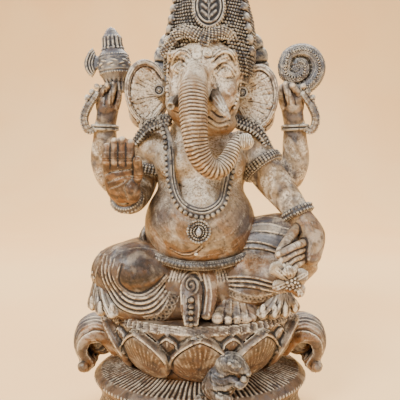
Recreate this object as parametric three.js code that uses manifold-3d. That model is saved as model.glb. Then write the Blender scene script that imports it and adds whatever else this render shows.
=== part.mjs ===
// A seated Ganesha idol on a lotus throne: cast resin pieces, glued, with applied ornaments.
// Millimetres, +Z up. The figure faces -Y, and its own left hand is on the +X side.
// The origin is the centre of the felt pad's underside, where the idol stands.
import * as THREE from "three";
import { mergeVertices } from "three/addons/utils/BufferGeometryUtils.js";
import Module from "manifold-3d";

const wasm = await Module();
wasm.setup();

// Driving dimensions.
const GLUE_GAP = 0.4; // between neighbouring pieces
const PLINTH = { halfWidth: 93, halfDepth: 70, top: 45.5 };
const SEAT = { halfWidth: 86, halfDepth: 68, top: 95 };
const FELT = { halfWidth: 87, halfDepth: 65, thick: 1.5 };
const PETALS = 10;
const BELLY = { at: [0, -4, 168], radii: [48, 46, 46] };
const CHEST = { at: [1, 4, 218], radii: [41, 31, 36] };
const SHOULDER = { x: 40, z: 234, radius: 17 };
const CROWN = { at: [7, 0, 0], foot: 290, top: 402, oval: 0.85, lean: THREE.MathUtils.degToRad(3) };
const HALO = { at: [10, 27, 306], radius: 52, thick: 5, blades: 15 };
const AXE = { at: [-74, 15, 285], lean: THREE.MathUtils.degToRad(-5) };
const COIL_Y = 12; // the plane that the coiled noose lies in

const SIDE_X = [1, 0, 0];
const SIDE_Y = [0, 1, 0];
const QUARTER = Math.PI / 2;
const SMALL = { around: 8, steps: 5 }; // facets of a small round detail

const paint = {
  stone: new THREE.MeshStandardMaterial({ color: 0xb39a78, roughness: 0.55, metalness: 0 }),
  umber: new THREE.MeshStandardMaterial({ color: 0x7c5f45, roughness: 0.5, metalness: 0 }),
  slate: new THREE.MeshStandardMaterial({ color: 0x66625f, roughness: 0.5, metalness: 0 }),
  ivory: new THREE.MeshStandardMaterial({ color: 0xd8cbb2, roughness: 0.45, metalness: 0 }),
  felt: new THREE.MeshStandardMaterial({ color: 0x2e2a27, roughness: 0.95, metalness: 0 }),
  glass: new THREE.MeshStandardMaterial({ color: 0xf2efe6, roughness: 0.1, metalness: 0 }),
};

// ---- Making solids ----

function manifoldOf(positions, triangles) {
  const mesh = new wasm.Mesh({ numProp: 3, vertProperties: positions, triVerts: triangles });
  return new wasm.Manifold(mesh);
}

function solidOf(geometry) {
  const loose = geometry.index ? geometry.toNonIndexed() : geometry;
  const bare = new THREE.BufferGeometry().setAttribute("position", loose.getAttribute("position"));
  const merged = mergeVertices(bare, 1e-4);
  return manifoldOf(merged.attributes.position.array, new Uint32Array(merged.index.array));
}

function geometryOf(solid) {
  const mesh = solid.getMesh();
  const positions = new THREE.BufferAttribute(new Float32Array(mesh.vertProperties), 3);
  const index = new THREE.BufferAttribute(new Uint32Array(mesh.triVerts), 1);
  const geometry = new THREE.BufferGeometry().setAttribute("position", positions).setIndex(index);
  geometry.computeVertexNormals();
  return geometry;
}

// The solid with its skin moved out along its normals.
function grown(solid, by) {
  const geometry = geometryOf(solid);
  const at = geometry.getAttribute("position");
  const out = geometry.getAttribute("normal");
  for (let i = 0; i < at.count; i++) {
    at.setXYZ(i, at.getX(i) + by * out.getX(i), at.getY(i) + by * out.getY(i), at.getZ(i) + by * out.getZ(i));
  }
  return manifoldOf(at.array, geometry.index.array);
}

const join = (...solids) => solids.reduce((sum, solid) => sum.add(solid));

function ball(at, radii, { turn = [0, 0, 0], around = 10, steps = 7 } = {}) {
  const sizes = Array.isArray(radii) ? radii : [radii, radii, radii];
  const geometry = new THREE.SphereGeometry(1, around, steps).rotateX(QUARTER).scale(...sizes);
  geometry.applyMatrix4(new THREE.Matrix4().makeRotationFromEuler(new THREE.Euler(...turn)));
  return solidOf(geometry.translate(...at));
}

// A round-ended tube along a smooth route. Each size is a radius, or [half along side, half across it].
// The wide edges can be drawn towards a hub, which arches the section like a leaf.
function limb(points, sizes, { side = SIDE_Y, around = 8, steps = 8, hub = points[0], drawn = 0 } = {}) {
  const route = new THREE.CatmullRomCurve3(points.map((p) => new THREE.Vector3(...p)));
  const across = new THREE.Vector3(...side);
  const pairs = sizes.map((s) => (Array.isArray(s) ? s : [s, s]));
  const shape = new THREE.SphereGeometry(1, around, steps);
  const at = shape.getAttribute("position");
  for (let i = 0; i < at.count; i++) {
    const t = Math.acos(THREE.MathUtils.clamp(at.getY(i), -1, 1)) / Math.PI;
    const ring = Math.max(Math.hypot(at.getX(i), at.getZ(i)), 1e-9);
    const rounding = Math.sqrt(Math.max(0, 1 - (2 * t - 1) ** 8));
    const place = t * (pairs.length - 1);
    const from = Math.min(Math.floor(place), pairs.length - 2);
    const size = (k) => THREE.MathUtils.lerp(pairs[from][k], pairs[from + 1][k], place - from);
    const [wide, thick] = [size(0), size(1)];
    const along = route.getTangent(t);
    const s = across.clone().addScaledVector(along, -across.dot(along)).normalize();
    const u = new THREE.Vector3().crossVectors(along, s);
    const p = route.getPoint(t);
    p.addScaledVector(s, (at.getX(i) / ring) * wide * rounding);
    p.addScaledVector(u, (at.getZ(i) / ring) * thick * rounding);
    const pull = drawn * ((at.getX(i) / ring) * rounding) ** 2;
    p.x += (hub[0] - p.x) * pull;
    p.z += (hub[2] - p.z) * pull;
    at.setXYZ(i, p.x, p.y, p.z);
  }
  return solidOf(shape);
}

// A profile of [radius, height] points turned about a vertical axis, then squashed to an oval and leaned.
function turned(profile, { at = [0, 0, 0], oval = 1, lean = 0, around = 32 } = {}) {
  const outline = profile.map(([r, z]) => new THREE.Vector2(r, z));
  const foot = profile[0][1];
  const geometry = new THREE.LatheGeometry(outline, around).rotateX(QUARTER).scale(1, oval, 1);
  geometry.translate(0, 0, -foot).rotateY(lean).translate(0, 0, foot);
  return solidOf(geometry.translate(...at));
}

// A flat disc or oval whose axis points along Y.
function disc(at, halfWidth, halfHeight, thick, { turn = [0, 0, 0], around = 14 } = {}) {
  const geometry = new THREE.CylinderGeometry(1, 1, thick, around).scale(halfWidth, 1, halfHeight);
  geometry.applyMatrix4(new THREE.Matrix4().makeRotationFromEuler(new THREE.Euler(...turn)));
  return solidOf(geometry.translate(...at));
}

// A ring round a limb: its hole's axis points from one place towards another.
function ring(at, towards, radius, [wide, thick], { around = 14, section = 5 } = {}) {
  const geometry = new THREE.TorusGeometry(radius, thick, section, around).scale(1, 1, wide / thick);
  const axis = new THREE.Vector3(...towards).sub(new THREE.Vector3(...at)).normalize();
  const turn = new THREE.Quaternion().setFromUnitVectors(new THREE.Vector3(0, 0, 1), axis);
  return solidOf(geometry.applyQuaternion(turn).translate(...at));
}

// A closed outline in the XZ plane, as thick as said along Y.
function plate(outline, y, thick) {
  const shape = new THREE.Shape(outline.map(([x, z]) => new THREE.Vector2(x, z)));
  const geometry = new THREE.ExtrudeGeometry(shape, { depth: thick, bevelEnabled: false });
  return solidOf(geometry.rotateX(QUARTER).translate(0, y + thick / 2, 0));
}

const mirrored = (points) => points.map(([x, ...rest]) => [-x, ...rest]);

// ---- Placing pieces: each is cut back from every piece placed before it ----

const idol = new THREE.Group();
const placed = []; // the room that each placed piece takes, with the glue gap round it

function meet(a, b) {
  return [0, 1, 2].every((k) => a.min[k] < b.max[k] && b.min[k] < a.max[k]);
}

function place(name, solid, material) {
  let body = solid;
  for (const other of placed) {
    if (meet(body.boundingBox(), other.boundingBox())) body = body.subtract(other);
  }
  const [largest] = body.decompose().sort((a, b) => b.volume() - a.volume());
  placed.push(join(largest, grown(largest, GLUE_GAP)));
  const mesh = new THREE.Mesh(geometryOf(largest), material);
  mesh.name = name;
  idol.add(mesh);
}

// ---- Base ----

function feltPad() {
  const { halfWidth, halfDepth, thick } = FELT;
  const geometry = new THREE.CylinderGeometry(1, 1, thick, 36).rotateX(QUARTER).scale(halfWidth, halfDepth, 1);
  return solidOf(geometry.translate(0, 0, thick / 2));
}

// An oval moulding: a waisted wall, a rim, and the apron that rises from the rim to the lotus.
function plinth() {
  const foot = FELT.thick + GLUE_GAP;
  const w = PLINTH.halfWidth;
  const profile = [
    [0, foot], [w - 6, foot], [w - 2, 6], [w - 5, 11], [w - 6, 20], [w - 4, 28], [w, 32], [w, 36],
    [w - 3, 38.5], [w - 30, PLINTH.top], [0, PLINTH.top],
  ];
  return turned(profile, { oval: PLINTH.halfDepth / w, around: 36 });
}

// A bowl with a ring of big petals laid on its wall.
function lotusSeat() {
  const w = SEAT.halfWidth;
  const oval = SEAT.halfDepth / w;
  const foot = PLINTH.top + GLUE_GAP;
  const bowl = turned([
    [0, foot], [w - 27, foot], [w - 15, 60], [w - 8, 75], [w - 5, 91], [w - 9, SEAT.top], [0, SEAT.top],
  ], { oval, around: 30 });
  const petals = Array.from({ length: PETALS }, (_, i) => {
    const angle = -QUARTER + (i * 2 * Math.PI) / PETALS;
    const out = Math.atan2(Math.sin(angle) / oval, Math.cos(angle));
    const lying = new THREE.Euler(THREE.MathUtils.degToRad(27), 0, out + QUARTER, "ZYX");
    const geometry = new THREE.SphereGeometry(1, 8, 6).rotateX(QUARTER).scale(21, 5, 24);
    geometry.applyMatrix4(new THREE.Matrix4().makeRotationFromEuler(lying));
    return solidOf(geometry.translate(75 * Math.cos(angle), 75 * oval * Math.sin(angle), 69));
  });
  return join(bowl, ...petals);
}

// A drooping leaf beside the lotus: it rises from the seat, arches outwards and curls at its lower end.
function scrollLeaf(mirror) {
  const route = [
    [70, 8, 60], [81, 8, 74], [93, 6, 81], [105, 3, 77], [109, 0, 63], [104, -4, 50], [100, -8, 45],
  ];
  const sizes = [[20, 5], [23, 5], [25, 4.5], [24, 4], [19, 4], [12, 4], [6, 4]];
  const [end, hub, heart] = mirror([[101, -12, 44], [84, 0, 50], [89, 6, 61]]);
  return join(
    limb(mirror(route), sizes, { steps: 14, hub, drawn: 0.3 }),
    ball(end, [6, 6, 5.5], SMALL),
    ball(heart, [13, 15, 13], { around: 12, steps: 8 }),
  );
}

function mouse() {
  return join(
    ball([17, -61, 54], [12, 10, 15]),
    ball([10, -61, 48], [9, 9, 9], SMALL),
    limb([[20, -62, 69], [27, -66, 69], [36, -69, 63]], [9, 8, 3], SMALL),
    ball([16, -60, 77], [5, 3, 5], SMALL),
    ball([26, -58, 77], [5, 3, 5], SMALL),
    limb([[24, -66, 57], [30, -70, 54], [34, -70, 58]], [4, 3.5, 3], SMALL),
  );
}

// ---- Lower body ----

function hips() {
  return join(ball([0, 6, 122], [62, 44, 33], { around: 16 }), ball([0, -18, 118], [46, 26, 26]));
}

function rightLeg() {
  return join(
    limb([[-20, 8, 130], [-48, 0, 132], [-72, -12, 129]], [24, 25, 21]),
    ball([-54, -20, 129], [37, 26, 27]),
    ball([-50, -24, 108], [37, 23, 15]),
    limb([[-60, -30, 108], [-32, -36, 106], [-6, -36, 103]], [16, 14, 9], SMALL),
  );
}

function leftLeg() {
  return join(
    limb([[24, 4, 134], [46, -6, 148], [66, -12, 152]], [24, 26, 25]),
    ball([69, -12, 149], [32, 25, 29]),
    limb([[78, -14, 140], [60, -26, 128], [36, -32, 116]], [23, 21, 15]),
    ball([38, -24, 128], [22, 20, 22]),
  );
}

function leftFoot() {
  const toes = [[14, -53, 5], [22, -53, 4], [29, -52, 4], [35.5, -50, 3.8], [41.5, -47, 3.5]];
  return join(
    limb([[36, -22, 108], [31, -36, 106], [27, -47, 101]], [[14, 9], [16, 9], [16, 6]], { side: SIDE_X }),
    ...toes.map(([x, y, r]) => ball([x, y, SEAT.top + r], [r, r + 2, r], SMALL)),
  );
}

// The waist sash, looped over at the top and hanging to the edge of the seat.
function sash() {
  const tail = limb(
    [[-7, -34, 134], [-7, -44, 122], [-7, -53, 108], [-7, -59, 98]],
    [[9, 4], [9, 4], [8, 4], [5, 3]],
    { side: SIDE_X },
  );
  const loop = limb(
    [[-4, -35, 136], [6, -38, 130], [8, -45, 117], [5, -52, 103]],
    [[7, 5], [7, 5], [7, 4], [5, 4]],
    { side: SIDE_X },
  );
  return join(tail, loop);
}

// Teardrop folds of the hem, fanned out from one gather.
function pleats(gather, tips, width) {
  const folds = tips.map((tip) => {
    const middle = gather.map((g, k) => (g + tip[k]) / 2 - (k === 1 ? 3 : 0));
    return limb([gather, middle, tip], [[2, 3], [width, 4], [width - 1, 3.5]], { side: SIDE_X, steps: 7 });
  });
  return join(...folds);
}

function hemPleatsLeft() {
  return pleats([68, -36, 124], [[50, -46, 97], [59, -46, 97], [68, -43, 97], [77, -37, 99]], 4.5);
}

function hemPleatsRight() {
  return pleats([-86, -22, 128], [[-70, -47, 98], [-80, -41, 98], [-89, -30, 99]], 5);
}

// ---- Torso ----

function torso() {
  const { x, z, radius } = SHOULDER;
  return join(
    ball(BELLY.at, BELLY.radii, { around: 16, steps: 10 }),
    ball(CHEST.at, CHEST.radii, { around: 14, steps: 10 }),
    ball([-18, -14, 221], [20, 18, 16], SMALL),
    ball([19, -14, 221], [20, 18, 16], SMALL),
    ball([-x, 4, z], [radius, radius + 2, radius], SMALL),
    ball([x, 4, z], [radius, radius + 2, radius], SMALL),
    ball([0, 2, 252], [25, 24, 17], SMALL),
  );
}

function belt() {
  const hoop = new THREE.TorusGeometry(1, 0.08, 6, 28).scale(50, 47, 48);
  hoop.rotateX(THREE.MathUtils.degToRad(21));
  return solidOf(hoop.translate(0, -1, 157));
}

function necklace() {
  const route = [
    [-32, -14, 256], [-25, -30, 236], [-22, -37, 206], [-14, -44, 189], [2, -47, 183], [16, -45, 190],
    [21, -39, 206], [27, -28, 234],
  ];
  return limb(route, route.map(() => [4, 4.5]), { around: 6, steps: 20 });
}

const epaulette = (route) => limb(route, [[9, 5], [9, 5], [8, 4]]);

// ---- Head ----

function head() {
  return join(
    ball([4.5, -5, 298], [33, 35, 29], { around: 16, steps: 10 }),
    ball([2, -12, 273], [31, 28, 27], { around: 14, steps: 10 }),
    ball([-3, -34, 284], [16, 14, 24], SMALL),
    ball([14, -22, 254], [16, 14, 10], SMALL),
  );
}

function trunk() {
  const route = [
    [-4, -40, 297], [-4, -46, 286], [-5, -52, 275], [-5, -57, 261], [-4, -60, 246], [-2, -60, 232],
    [4, -58, 221], [13, -55, 217], [21, -51, 224], [27, -46, 236], [31, -42, 243],
  ];
  return limb(route, [9, 10.5, 11.2, 11, 10, 9.2, 8.6, 8, 7, 5.5, 3.5], { around: 12, steps: 22 });
}

function brokenTusk() {
  return limb([[-16, -30, 272], [-20, -46, 269], [-22, -54, 265]], [5, 4.4, 3.2], SMALL);
}

function wholeTusk() {
  return limb([[10, -32, 277], [14, -48, 269], [18, -57, 261], [21, -60, 256]], [5.4, 4.8, 3.4, 1.6], SMALL);
}

// A shallow dish with its hollow side to the front.
function ear(at, turn) {
  const dish = ball(at, [20, 6, 29], { turn, around: 14, steps: 10 });
  const front = at.map((c, k) => (k === 1 ? c - 6 : c));
  return dish.subtract(ball(front, [16, 6, 24], { turn, around: 12, steps: 8 }));
}

// A tall oval cone, cut back at the front so that the brow shows.
function crown() {
  const { foot, top } = CROWN;
  const cone = turned([
    [0, foot], [34, foot], [37, foot + 9], [38, foot + 22], [37.5, foot + 36], [34.5, foot + 52],
    [29.5, foot + 67],
    [27, foot + 76], [21, foot + 84], [19, foot + 96], [13, foot + 101],
    [11, top - 2], [0, top],
  ], { at: CROWN.at, lean: CROWN.lean, oval: CROWN.oval, around: 20 });
  return cone.subtract(ball([5, -46, 297], [31, 29, 31]));
}

function crownFinial() {
  return turned([[0, 396], [7, 396], [10, 405], [6, 409], [3.5, 412], [1, 416], [0, 416]], {
    at: [11, 0, 0],
    around: 16,
  });
}

function foreheadBand() {
  const route = [[-29, -18, 312], [-15, -29, 325], [4, -33, 321], [21, -29, 324], [34, -16, 311]];
  return limb(route, [4, 4, 5, 4, 4], { steps: 12 });
}

// The ruffled fan of plumes behind the crown.
function haloFan() {
  const { at: [x, y, z], radius, thick, blades } = HALO;
  const outline = [];
  const steps = blades * 4;
  for (let i = 0; i <= steps; i++) {
    const turn = THREE.MathUtils.degToRad(-14 + (208 * i) / steps);
    const lobe = radius - 3 + 3 * Math.abs(Math.sin((Math.PI * blades * i) / steps));
    outline.push([x + lobe * Math.cos(turn), z + lobe * Math.sin(turn)]);
  }
  return plate(outline, y, thick);
}

// ---- Arms and what they hold ----

const frontRightArm = [
  [-40, 3, 236], [-49, 5, 219], [-52, 2, 203], [-55, -12, 194], [-58, -28, 191], [-60, -40, 197],
];
const frontLeftArm = [[42, 1, 238], [51, -7, 222], [63, -14, 205], [74, -20, 191], [84, -26, 176]];
const rearArm = [[38, 14, 236], [60, 21, 216], [78, 23, 205], [87, 21, 222], [86, 17, 242], [85, 15, 257]];

function fingers(roots, knuckles, tips, radius) {
  return roots.map((root, i) => limb([root, knuckles[i], tips[i]], [radius, radius, radius * 0.75], SMALL));
}

// The raised palm, facing front with its fingers up.
function frontRightHand() {
  const x = [-72, -66, -60, -54];
  const tips = [236, 240, 241, 239];
  const digits = fingers(
    x.map((a) => [a, -46, 210]),
    x.map((a) => [a, -49, 222]),
    x.map((a, i) => [a, -47, tips[i]]),
    3.6,
  );
  const thumb = limb([[-54, -44, 200], [-47, -47, 211], [-48, -51, 225]], [5, 4.5, 3], SMALL);
  return join(ball([-62, -44, 208], [13, 8, 18]), thumb, ...digits);
}

// The hand that rests on the raised knee, its fingers curled round the flower.
function frontLeftHand() {
  const drop = [0, 1, 2, 3];
  const digits = fingers(
    drop.map((i) => [86 - i, -36 - i, 158 - 4.5 * i]),
    drop.map((i) => [75, -50 - i, 157 - 4.5 * i]),
    drop.map((i) => [61 + 2 * i, -54 - i, 151 - 4.5 * i]),
    3.6,
  );
  const back = limb([[82, -25, 180], [91, -32, 163], [89, -38, 148]], [9, 11, 9]);
  const thumb = limb([[80, -31, 170], [70, -43, 161], [64, -49, 153]], [5, 4.5, 3], SMALL);
  return join(back, thumb, ...digits);
}

function rearHand(mirror) {
  const [palmFoot, palm, palmTop, finger, knuckle, tip] = mirror([
    [85, 15, 252], [82, 13, 270], [79, 14, 288], [86, 8, 281], [82, 2, 287], [75, 4, 290],
  ]);
  return join(
    limb([palmFoot, palm, palmTop], [9, 10, 7]),
    limb([finger, knuckle, tip], [3.6, 3.4, 3], SMALL),
  );
}

function axeHead() {
  const profile = [
    [0, 0], [8, 0], [8.5, 8], [13, 15], [14, 23], [12.5, 31], [8, 37], [7.5, 47], [3, 54], [0, 55],
  ];
  return turned(profile, { at: AXE.at, lean: AXE.lean, around: 20 });
}

function axeBlade() {
  const tang = [[-86, 306], [-86, 314]];
  const crescent = [
    [-92, 316], [-95, 323], [-99, 319], [-102, 313], [-103, 309], [-102, 304], [-99, 299], [-96, 297],
    [-92, 304],
  ];
  return plate([...tang, ...crescent], AXE.at[1], 6);
}

// A noose wound in one flat spiral, its end gripped by the hand.
function coiledNoose() {
  const flat = ([x, z]) => [x, COIL_Y, z];
  const outer = [
    [81, 285], [92, 287], [101, 295], [104, 306], [99, 316], [89, 320], [78, 316], [74, 306],
  ].map(flat);
  const inner = [[75, 310], [75, 300], [83, 296], [91, 300], [91, 308], [86, 310]].map(flat);
  return join(
    limb(outer, [[5, 4], [6, 5], [7, 6], [7, 6], [7, 6], [7, 6], [6, 6], [6, 5]], { steps: 16, around: 8 }),
    limb(inner, [[6, 5], [6, 5], [6, 5], [6, 5], [5, 4], [5, 4]], { steps: 12, around: 8 }),
  );
}

// The scarf end that hangs from a rear wrist and turns up beside the hand, with its three tassel knobs.
function ribbon(mirror) {
  const strip = mirror([[88, 11, 256], [98, 8, 250], [102, 8, 260], [98, 7, 271], [91, 6, 281]]);
  const knobs = mirror([[98, 5, 278], [94, 5, 283], [90, 5, 288]]);
  return join(
    limb(strip, [[4, 2.5], [4.5, 3], [5, 3], [4.5, 3], [3.5, 2.5]], { around: 8, steps: 10 }),
    ...knobs.map((at) => ball(at, [4, 3.5, 3.2], SMALL)),
  );
}

function flower() {
  const heart = ball([70, -54, 131], [10, 8, 11], SMALL);
  const petals = [[58, -58, 142], [68, -61, 140], [79, -56, 136], [60, -58, 127], [77, -55, 123]];
  return join(heart, ...petals.map((at) => ball(at, [8, 4, 5], SMALL)));
}

// ---- The assembly ----

const same = (points) => points;

place("felt_pad", feltPad(), paint.felt);
place("plinth", plinth(), paint.umber);
place("lotus_seat", lotusSeat(), paint.umber);
place("scroll_leaf_right", scrollLeaf(mirrored), paint.umber);
place("scroll_leaf_left", scrollLeaf(same), paint.umber);
place("mouse", mouse(), paint.slate);

place("torso", torso(), paint.stone);
place("belt", belt(), paint.slate);
place("hips", hips(), paint.umber);
place("right_leg", rightLeg(), paint.umber);
place("left_leg", leftLeg(), paint.umber);
place("left_foot", leftFoot(), paint.stone);
place("sash", sash(), paint.umber);
place("hem_pleats_left", hemPleatsLeft(), paint.stone);
place("hem_pleats_right", hemPleatsRight(), paint.stone);
place("necklace", necklace(), paint.slate);
place("belly_jewel", disc([-1, -50.5, 169], 9.5, 9.5, 4), paint.slate);
place("belly_stone", ball([-1, -54, 169], [2.2, 2.2, 3.8], SMALL), paint.glass);
place("navel_pearl", ball([-3, -46.5, 150], [1.8, 2, 1.5], SMALL), paint.glass);

place("head", head(), paint.stone);
place("trunk", trunk(), paint.stone);
place("tusk_right", brokenTusk(), paint.ivory);
place("tusk_left", wholeTusk(), paint.ivory);
place("ear_right", ear([-45, -5, 280], [0, -0.1, 0.2]), paint.stone);
place("ear_left", ear([48, -5, 276], [0, 0.12, -0.2]), paint.stone);
place("ear_stud_right", disc([-34, -11, 282], 5, 5, 10, { around: 10 }), paint.slate);
place("ear_stud_left", disc([35, -11, 280], 5, 5, 10, { around: 10 }), paint.slate);
place("crown", crown(), paint.slate);
place("crown_finial", crownFinial(), paint.slate);
place("crown_medallion", disc([7, -30, 344], 12, 17, 6, { turn: [-0.2, 0.05, 0] }), paint.slate);
place("forehead_band", foreheadBand(), paint.slate);
place("halo_fan", haloFan(), paint.slate);
place("sweet", ball([35, -45, 238], [6, 5.5, 6], SMALL), paint.ivory);

const arm = (route, radii) => limb(route, radii, { around: 10, steps: 12 });
const rearArmRadii = [15, 14, 13, 12.5, 10.5, 9];
place("front_right_arm", arm(frontRightArm, [17, 15, 13, 12, 11, 9]), paint.stone);
place("front_left_arm", arm(frontLeftArm, [17, 15.5, 14, 12, 10]), paint.stone);
place("rear_right_arm", arm(mirrored(rearArm), rearArmRadii), paint.stone);
place("rear_left_arm", arm(rearArm, rearArmRadii), paint.stone);
place("front_right_hand", frontRightHand(), paint.umber);
place("front_left_hand", frontLeftHand(), paint.stone);
place("rear_right_hand", rearHand(mirrored), paint.umber);
place("rear_left_hand", rearHand(same), paint.stone);

place("front_right_armlet", ring([-47, 4, 218], [-50, 5, 205], 15, [5, 3.4]), paint.slate);
place("front_left_armlet", ring([53, -8, 219], [63, -14, 205], 15.2, [5, 3.4]), paint.slate);
place("front_right_bangle", ring([-59, -34, 193], [-60, -43, 200], 10, [3.5, 3.5]), paint.slate);
place("front_left_bangle", ring([81, -24, 181], [85, -27, 172], 10, [4, 3.5]), paint.slate);
place("rear_right_bangle", ring([-85.5, 15.5, 253], [-85, 15, 264], 9.5, [3, 3.2]), paint.slate);
place("rear_left_bangle", ring([85.5, 15.5, 253], [85, 15, 264], 9.5, [3, 3.2]), paint.slate);

place("axe_head", axeHead(), paint.slate);
place("axe_blade", axeBlade(), paint.slate);
place("coiled_noose", coiledNoose(), paint.slate);
place("rear_right_ribbon", ribbon(mirrored), paint.ivory);
place("rear_left_ribbon", ribbon(same), paint.ivory);
place("flower", flower(), paint.ivory);
place("shoulder_ornament_right", epaulette([[-28, -14, 257], [-42, -12, 252], [-54, -5, 240]]), paint.slate);
place("shoulder_ornament_left", epaulette([[30, -14, 257], [47, -12, 249], [59, -6, 233]]), paint.slate);

export default idol;
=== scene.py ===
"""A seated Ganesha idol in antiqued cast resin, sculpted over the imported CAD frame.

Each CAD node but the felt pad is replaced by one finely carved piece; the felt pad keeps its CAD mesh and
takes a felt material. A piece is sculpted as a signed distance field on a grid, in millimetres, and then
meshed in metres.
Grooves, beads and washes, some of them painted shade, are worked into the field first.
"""
import math

import bpy
import numpy as np
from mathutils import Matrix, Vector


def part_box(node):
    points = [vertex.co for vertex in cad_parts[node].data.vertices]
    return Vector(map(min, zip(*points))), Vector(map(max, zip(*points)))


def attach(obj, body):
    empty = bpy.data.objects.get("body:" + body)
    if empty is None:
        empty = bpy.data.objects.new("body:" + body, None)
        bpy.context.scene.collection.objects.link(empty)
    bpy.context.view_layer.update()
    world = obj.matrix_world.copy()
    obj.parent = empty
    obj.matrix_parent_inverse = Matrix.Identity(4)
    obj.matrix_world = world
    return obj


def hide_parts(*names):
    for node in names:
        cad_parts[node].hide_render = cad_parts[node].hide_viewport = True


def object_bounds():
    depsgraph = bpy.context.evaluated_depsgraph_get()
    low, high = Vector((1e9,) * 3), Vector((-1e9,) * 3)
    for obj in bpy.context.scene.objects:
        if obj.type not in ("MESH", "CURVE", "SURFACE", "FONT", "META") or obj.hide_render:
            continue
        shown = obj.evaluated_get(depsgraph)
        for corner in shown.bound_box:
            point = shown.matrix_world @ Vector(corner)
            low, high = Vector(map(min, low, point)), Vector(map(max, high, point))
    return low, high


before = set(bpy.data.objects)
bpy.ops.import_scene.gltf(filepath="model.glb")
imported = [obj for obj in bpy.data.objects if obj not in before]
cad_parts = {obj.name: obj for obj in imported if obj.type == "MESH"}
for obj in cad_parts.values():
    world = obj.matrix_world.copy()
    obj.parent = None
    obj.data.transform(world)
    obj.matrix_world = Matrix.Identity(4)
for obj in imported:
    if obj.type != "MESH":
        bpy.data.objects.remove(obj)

import openvdb as vdb
from mathutils import Euler, Vector

CAD_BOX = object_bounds()

MM = 0.001
TURN = 2 * math.pi
FAR = 6.0  # the field's value where a piece has nothing near
SKIN = 2.2  # how far from the surface the cells reach that take grain and washes
COARSE = 2.5  # the step of the grid that measures how crowded each place is
MARGIN = 5.0  # room round a node's box for its beads and rims
WASHES = ("pale", "dark", "warm", "cool")


def cell(fine):
    return fine


BROAD_STEP = cell(0.85)  # for the broad plain pieces
LIMB_STEP = cell(0.7)
MIDDLE_STEP = cell(0.55)
SMALL_STEP = cell(0.5)
TINY_STEP = cell(0.45)


# ---- Places, from the frame ----

def box(node):
    low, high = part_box(node)
    return np.array(low) / MM, np.array(high) / MM


# ---- Shapes: lists of (low corner, high corner, distance function) ----

def turned_back(turn):
    """The matrix that takes a world offset into the frame of something turned by these angles, in degrees."""
    return np.array(Euler([math.radians(a) for a in turn]).to_matrix()).T


def ball(at, radii, turn=(0, 0, 0)):
    """An ellipsoid."""
    at = np.array(at, float)
    r = np.array(radii if np.ndim(radii) else [radii] * 3, float)
    m = turned_back(turn)
    reach = r.max() if any(turn) else r

    def distance(x, y, z):
        dx, dy, dz = x - at[0], y - at[1], z - at[2]
        p = [m[k, 0] * dx + m[k, 1] * dy + m[k, 2] * dz for k in range(3)]
        k0 = np.sqrt(sum((p[k] / r[k]) ** 2 for k in range(3)))
        k1 = np.sqrt(sum((p[k] / r[k] ** 2) ** 2 for k in range(3)))
        return k0 * (k0 - 1) / np.maximum(k1, 1e-4)

    return [(at - reach, at + reach, distance)]


def spline(points, spacing):
    """Even points along a smooth curve through the given ones, and each one's place from 0 to 1."""
    p = np.array(points, float)
    p = np.vstack([2 * p[0] - p[1], p, 2 * p[-1] - p[-2]])
    t = np.linspace(0, 1, 24, endpoint=False)[:, None]
    spans = []
    for a, b, c, d in zip(p, p[1:], p[2:], p[3:]):
        spans.append(0.5 * (2 * b + (c - a) * t + (2 * a - 5 * b + 4 * c - d) * t**2
                            + (3 * b - a - 3 * c + d) * t**3))
    dense = np.vstack(spans + [p[-2][None]])
    place = np.linspace(0, 1, len(dense))
    along = distances(dense)
    count = max(2, int(round(along[-1] / spacing)) + 1)
    even = np.linspace(0, along[-1], count)
    out = np.stack([np.interp(even, along, dense[:, k]) for k in range(p.shape[1])], axis=1)
    return out, np.interp(even, along, place)


def curve(points, spacing):
    return spline(points, spacing)[0]


def sideways(path):
    """The directions across a path that a view from the front shows, one at each of its points."""
    ahead = np.gradient(path, axis=0)
    side = np.stack([-ahead[:, 2], np.zeros(len(path)), ahead[:, 0]], axis=1)
    return side / np.maximum(np.linalg.norm(side, axis=1), 1e-6)[:, None]


def distances(path):
    """How far along a path each of its points is."""
    return np.concatenate([[0], np.cumsum(np.linalg.norm(np.diff(path, axis=0), axis=1))])


def limb(points, radii, side=None, widen=1.0, spacing=2.5):
    """A round-ended limb along a curve. With side, its section is widened along that direction."""
    path, place = spline(points, spacing)
    size = np.interp(place, np.linspace(0, 1, len(radii)), radii)
    across, squash = None, np.ones(len(path))
    if side is not None:
        across = np.array(side, float)
        squash = np.interp(place, np.linspace(0, 1, np.size(widen)), np.atleast_1d(widen))
    parts = []
    for i, (a, b) in enumerate(zip(path, path[1:])):
        wide = size[i:i + 2].max() * squash[i]
        distance = bone(a, b, size[i], size[i + 1], across, squash[i])
        parts.append((np.minimum(a, b) - wide, np.maximum(a, b) + wide, distance))
    return parts


def bone(a, b, ra, rb, side, widen):
    """The distance to one straight stretch of a limb."""
    ab = b - a
    length = max(float(ab @ ab), 1e-6)
    if side is not None:
        side = side - ab * (side @ ab) / length
        side = side / np.linalg.norm(side)

    def distance(x, y, z):
        dx, dy, dz = x - a[0], y - a[1], z - a[2]
        t = np.clip((dx * ab[0] + dy * ab[1] + dz * ab[2]) / length, 0, 1)
        dx, dy, dz = dx - t * ab[0], dy - t * ab[1], dz - t * ab[2]
        square = dx * dx + dy * dy + dz * dz
        if side is not None:
            across = dx * side[0] + dy * side[1] + dz * side[2]
            square = square - across * across * (1 - 1 / widen**2)
        return np.sqrt(np.maximum(square, 0)) - (ra + (rb - ra) * t)

    return distance


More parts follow.
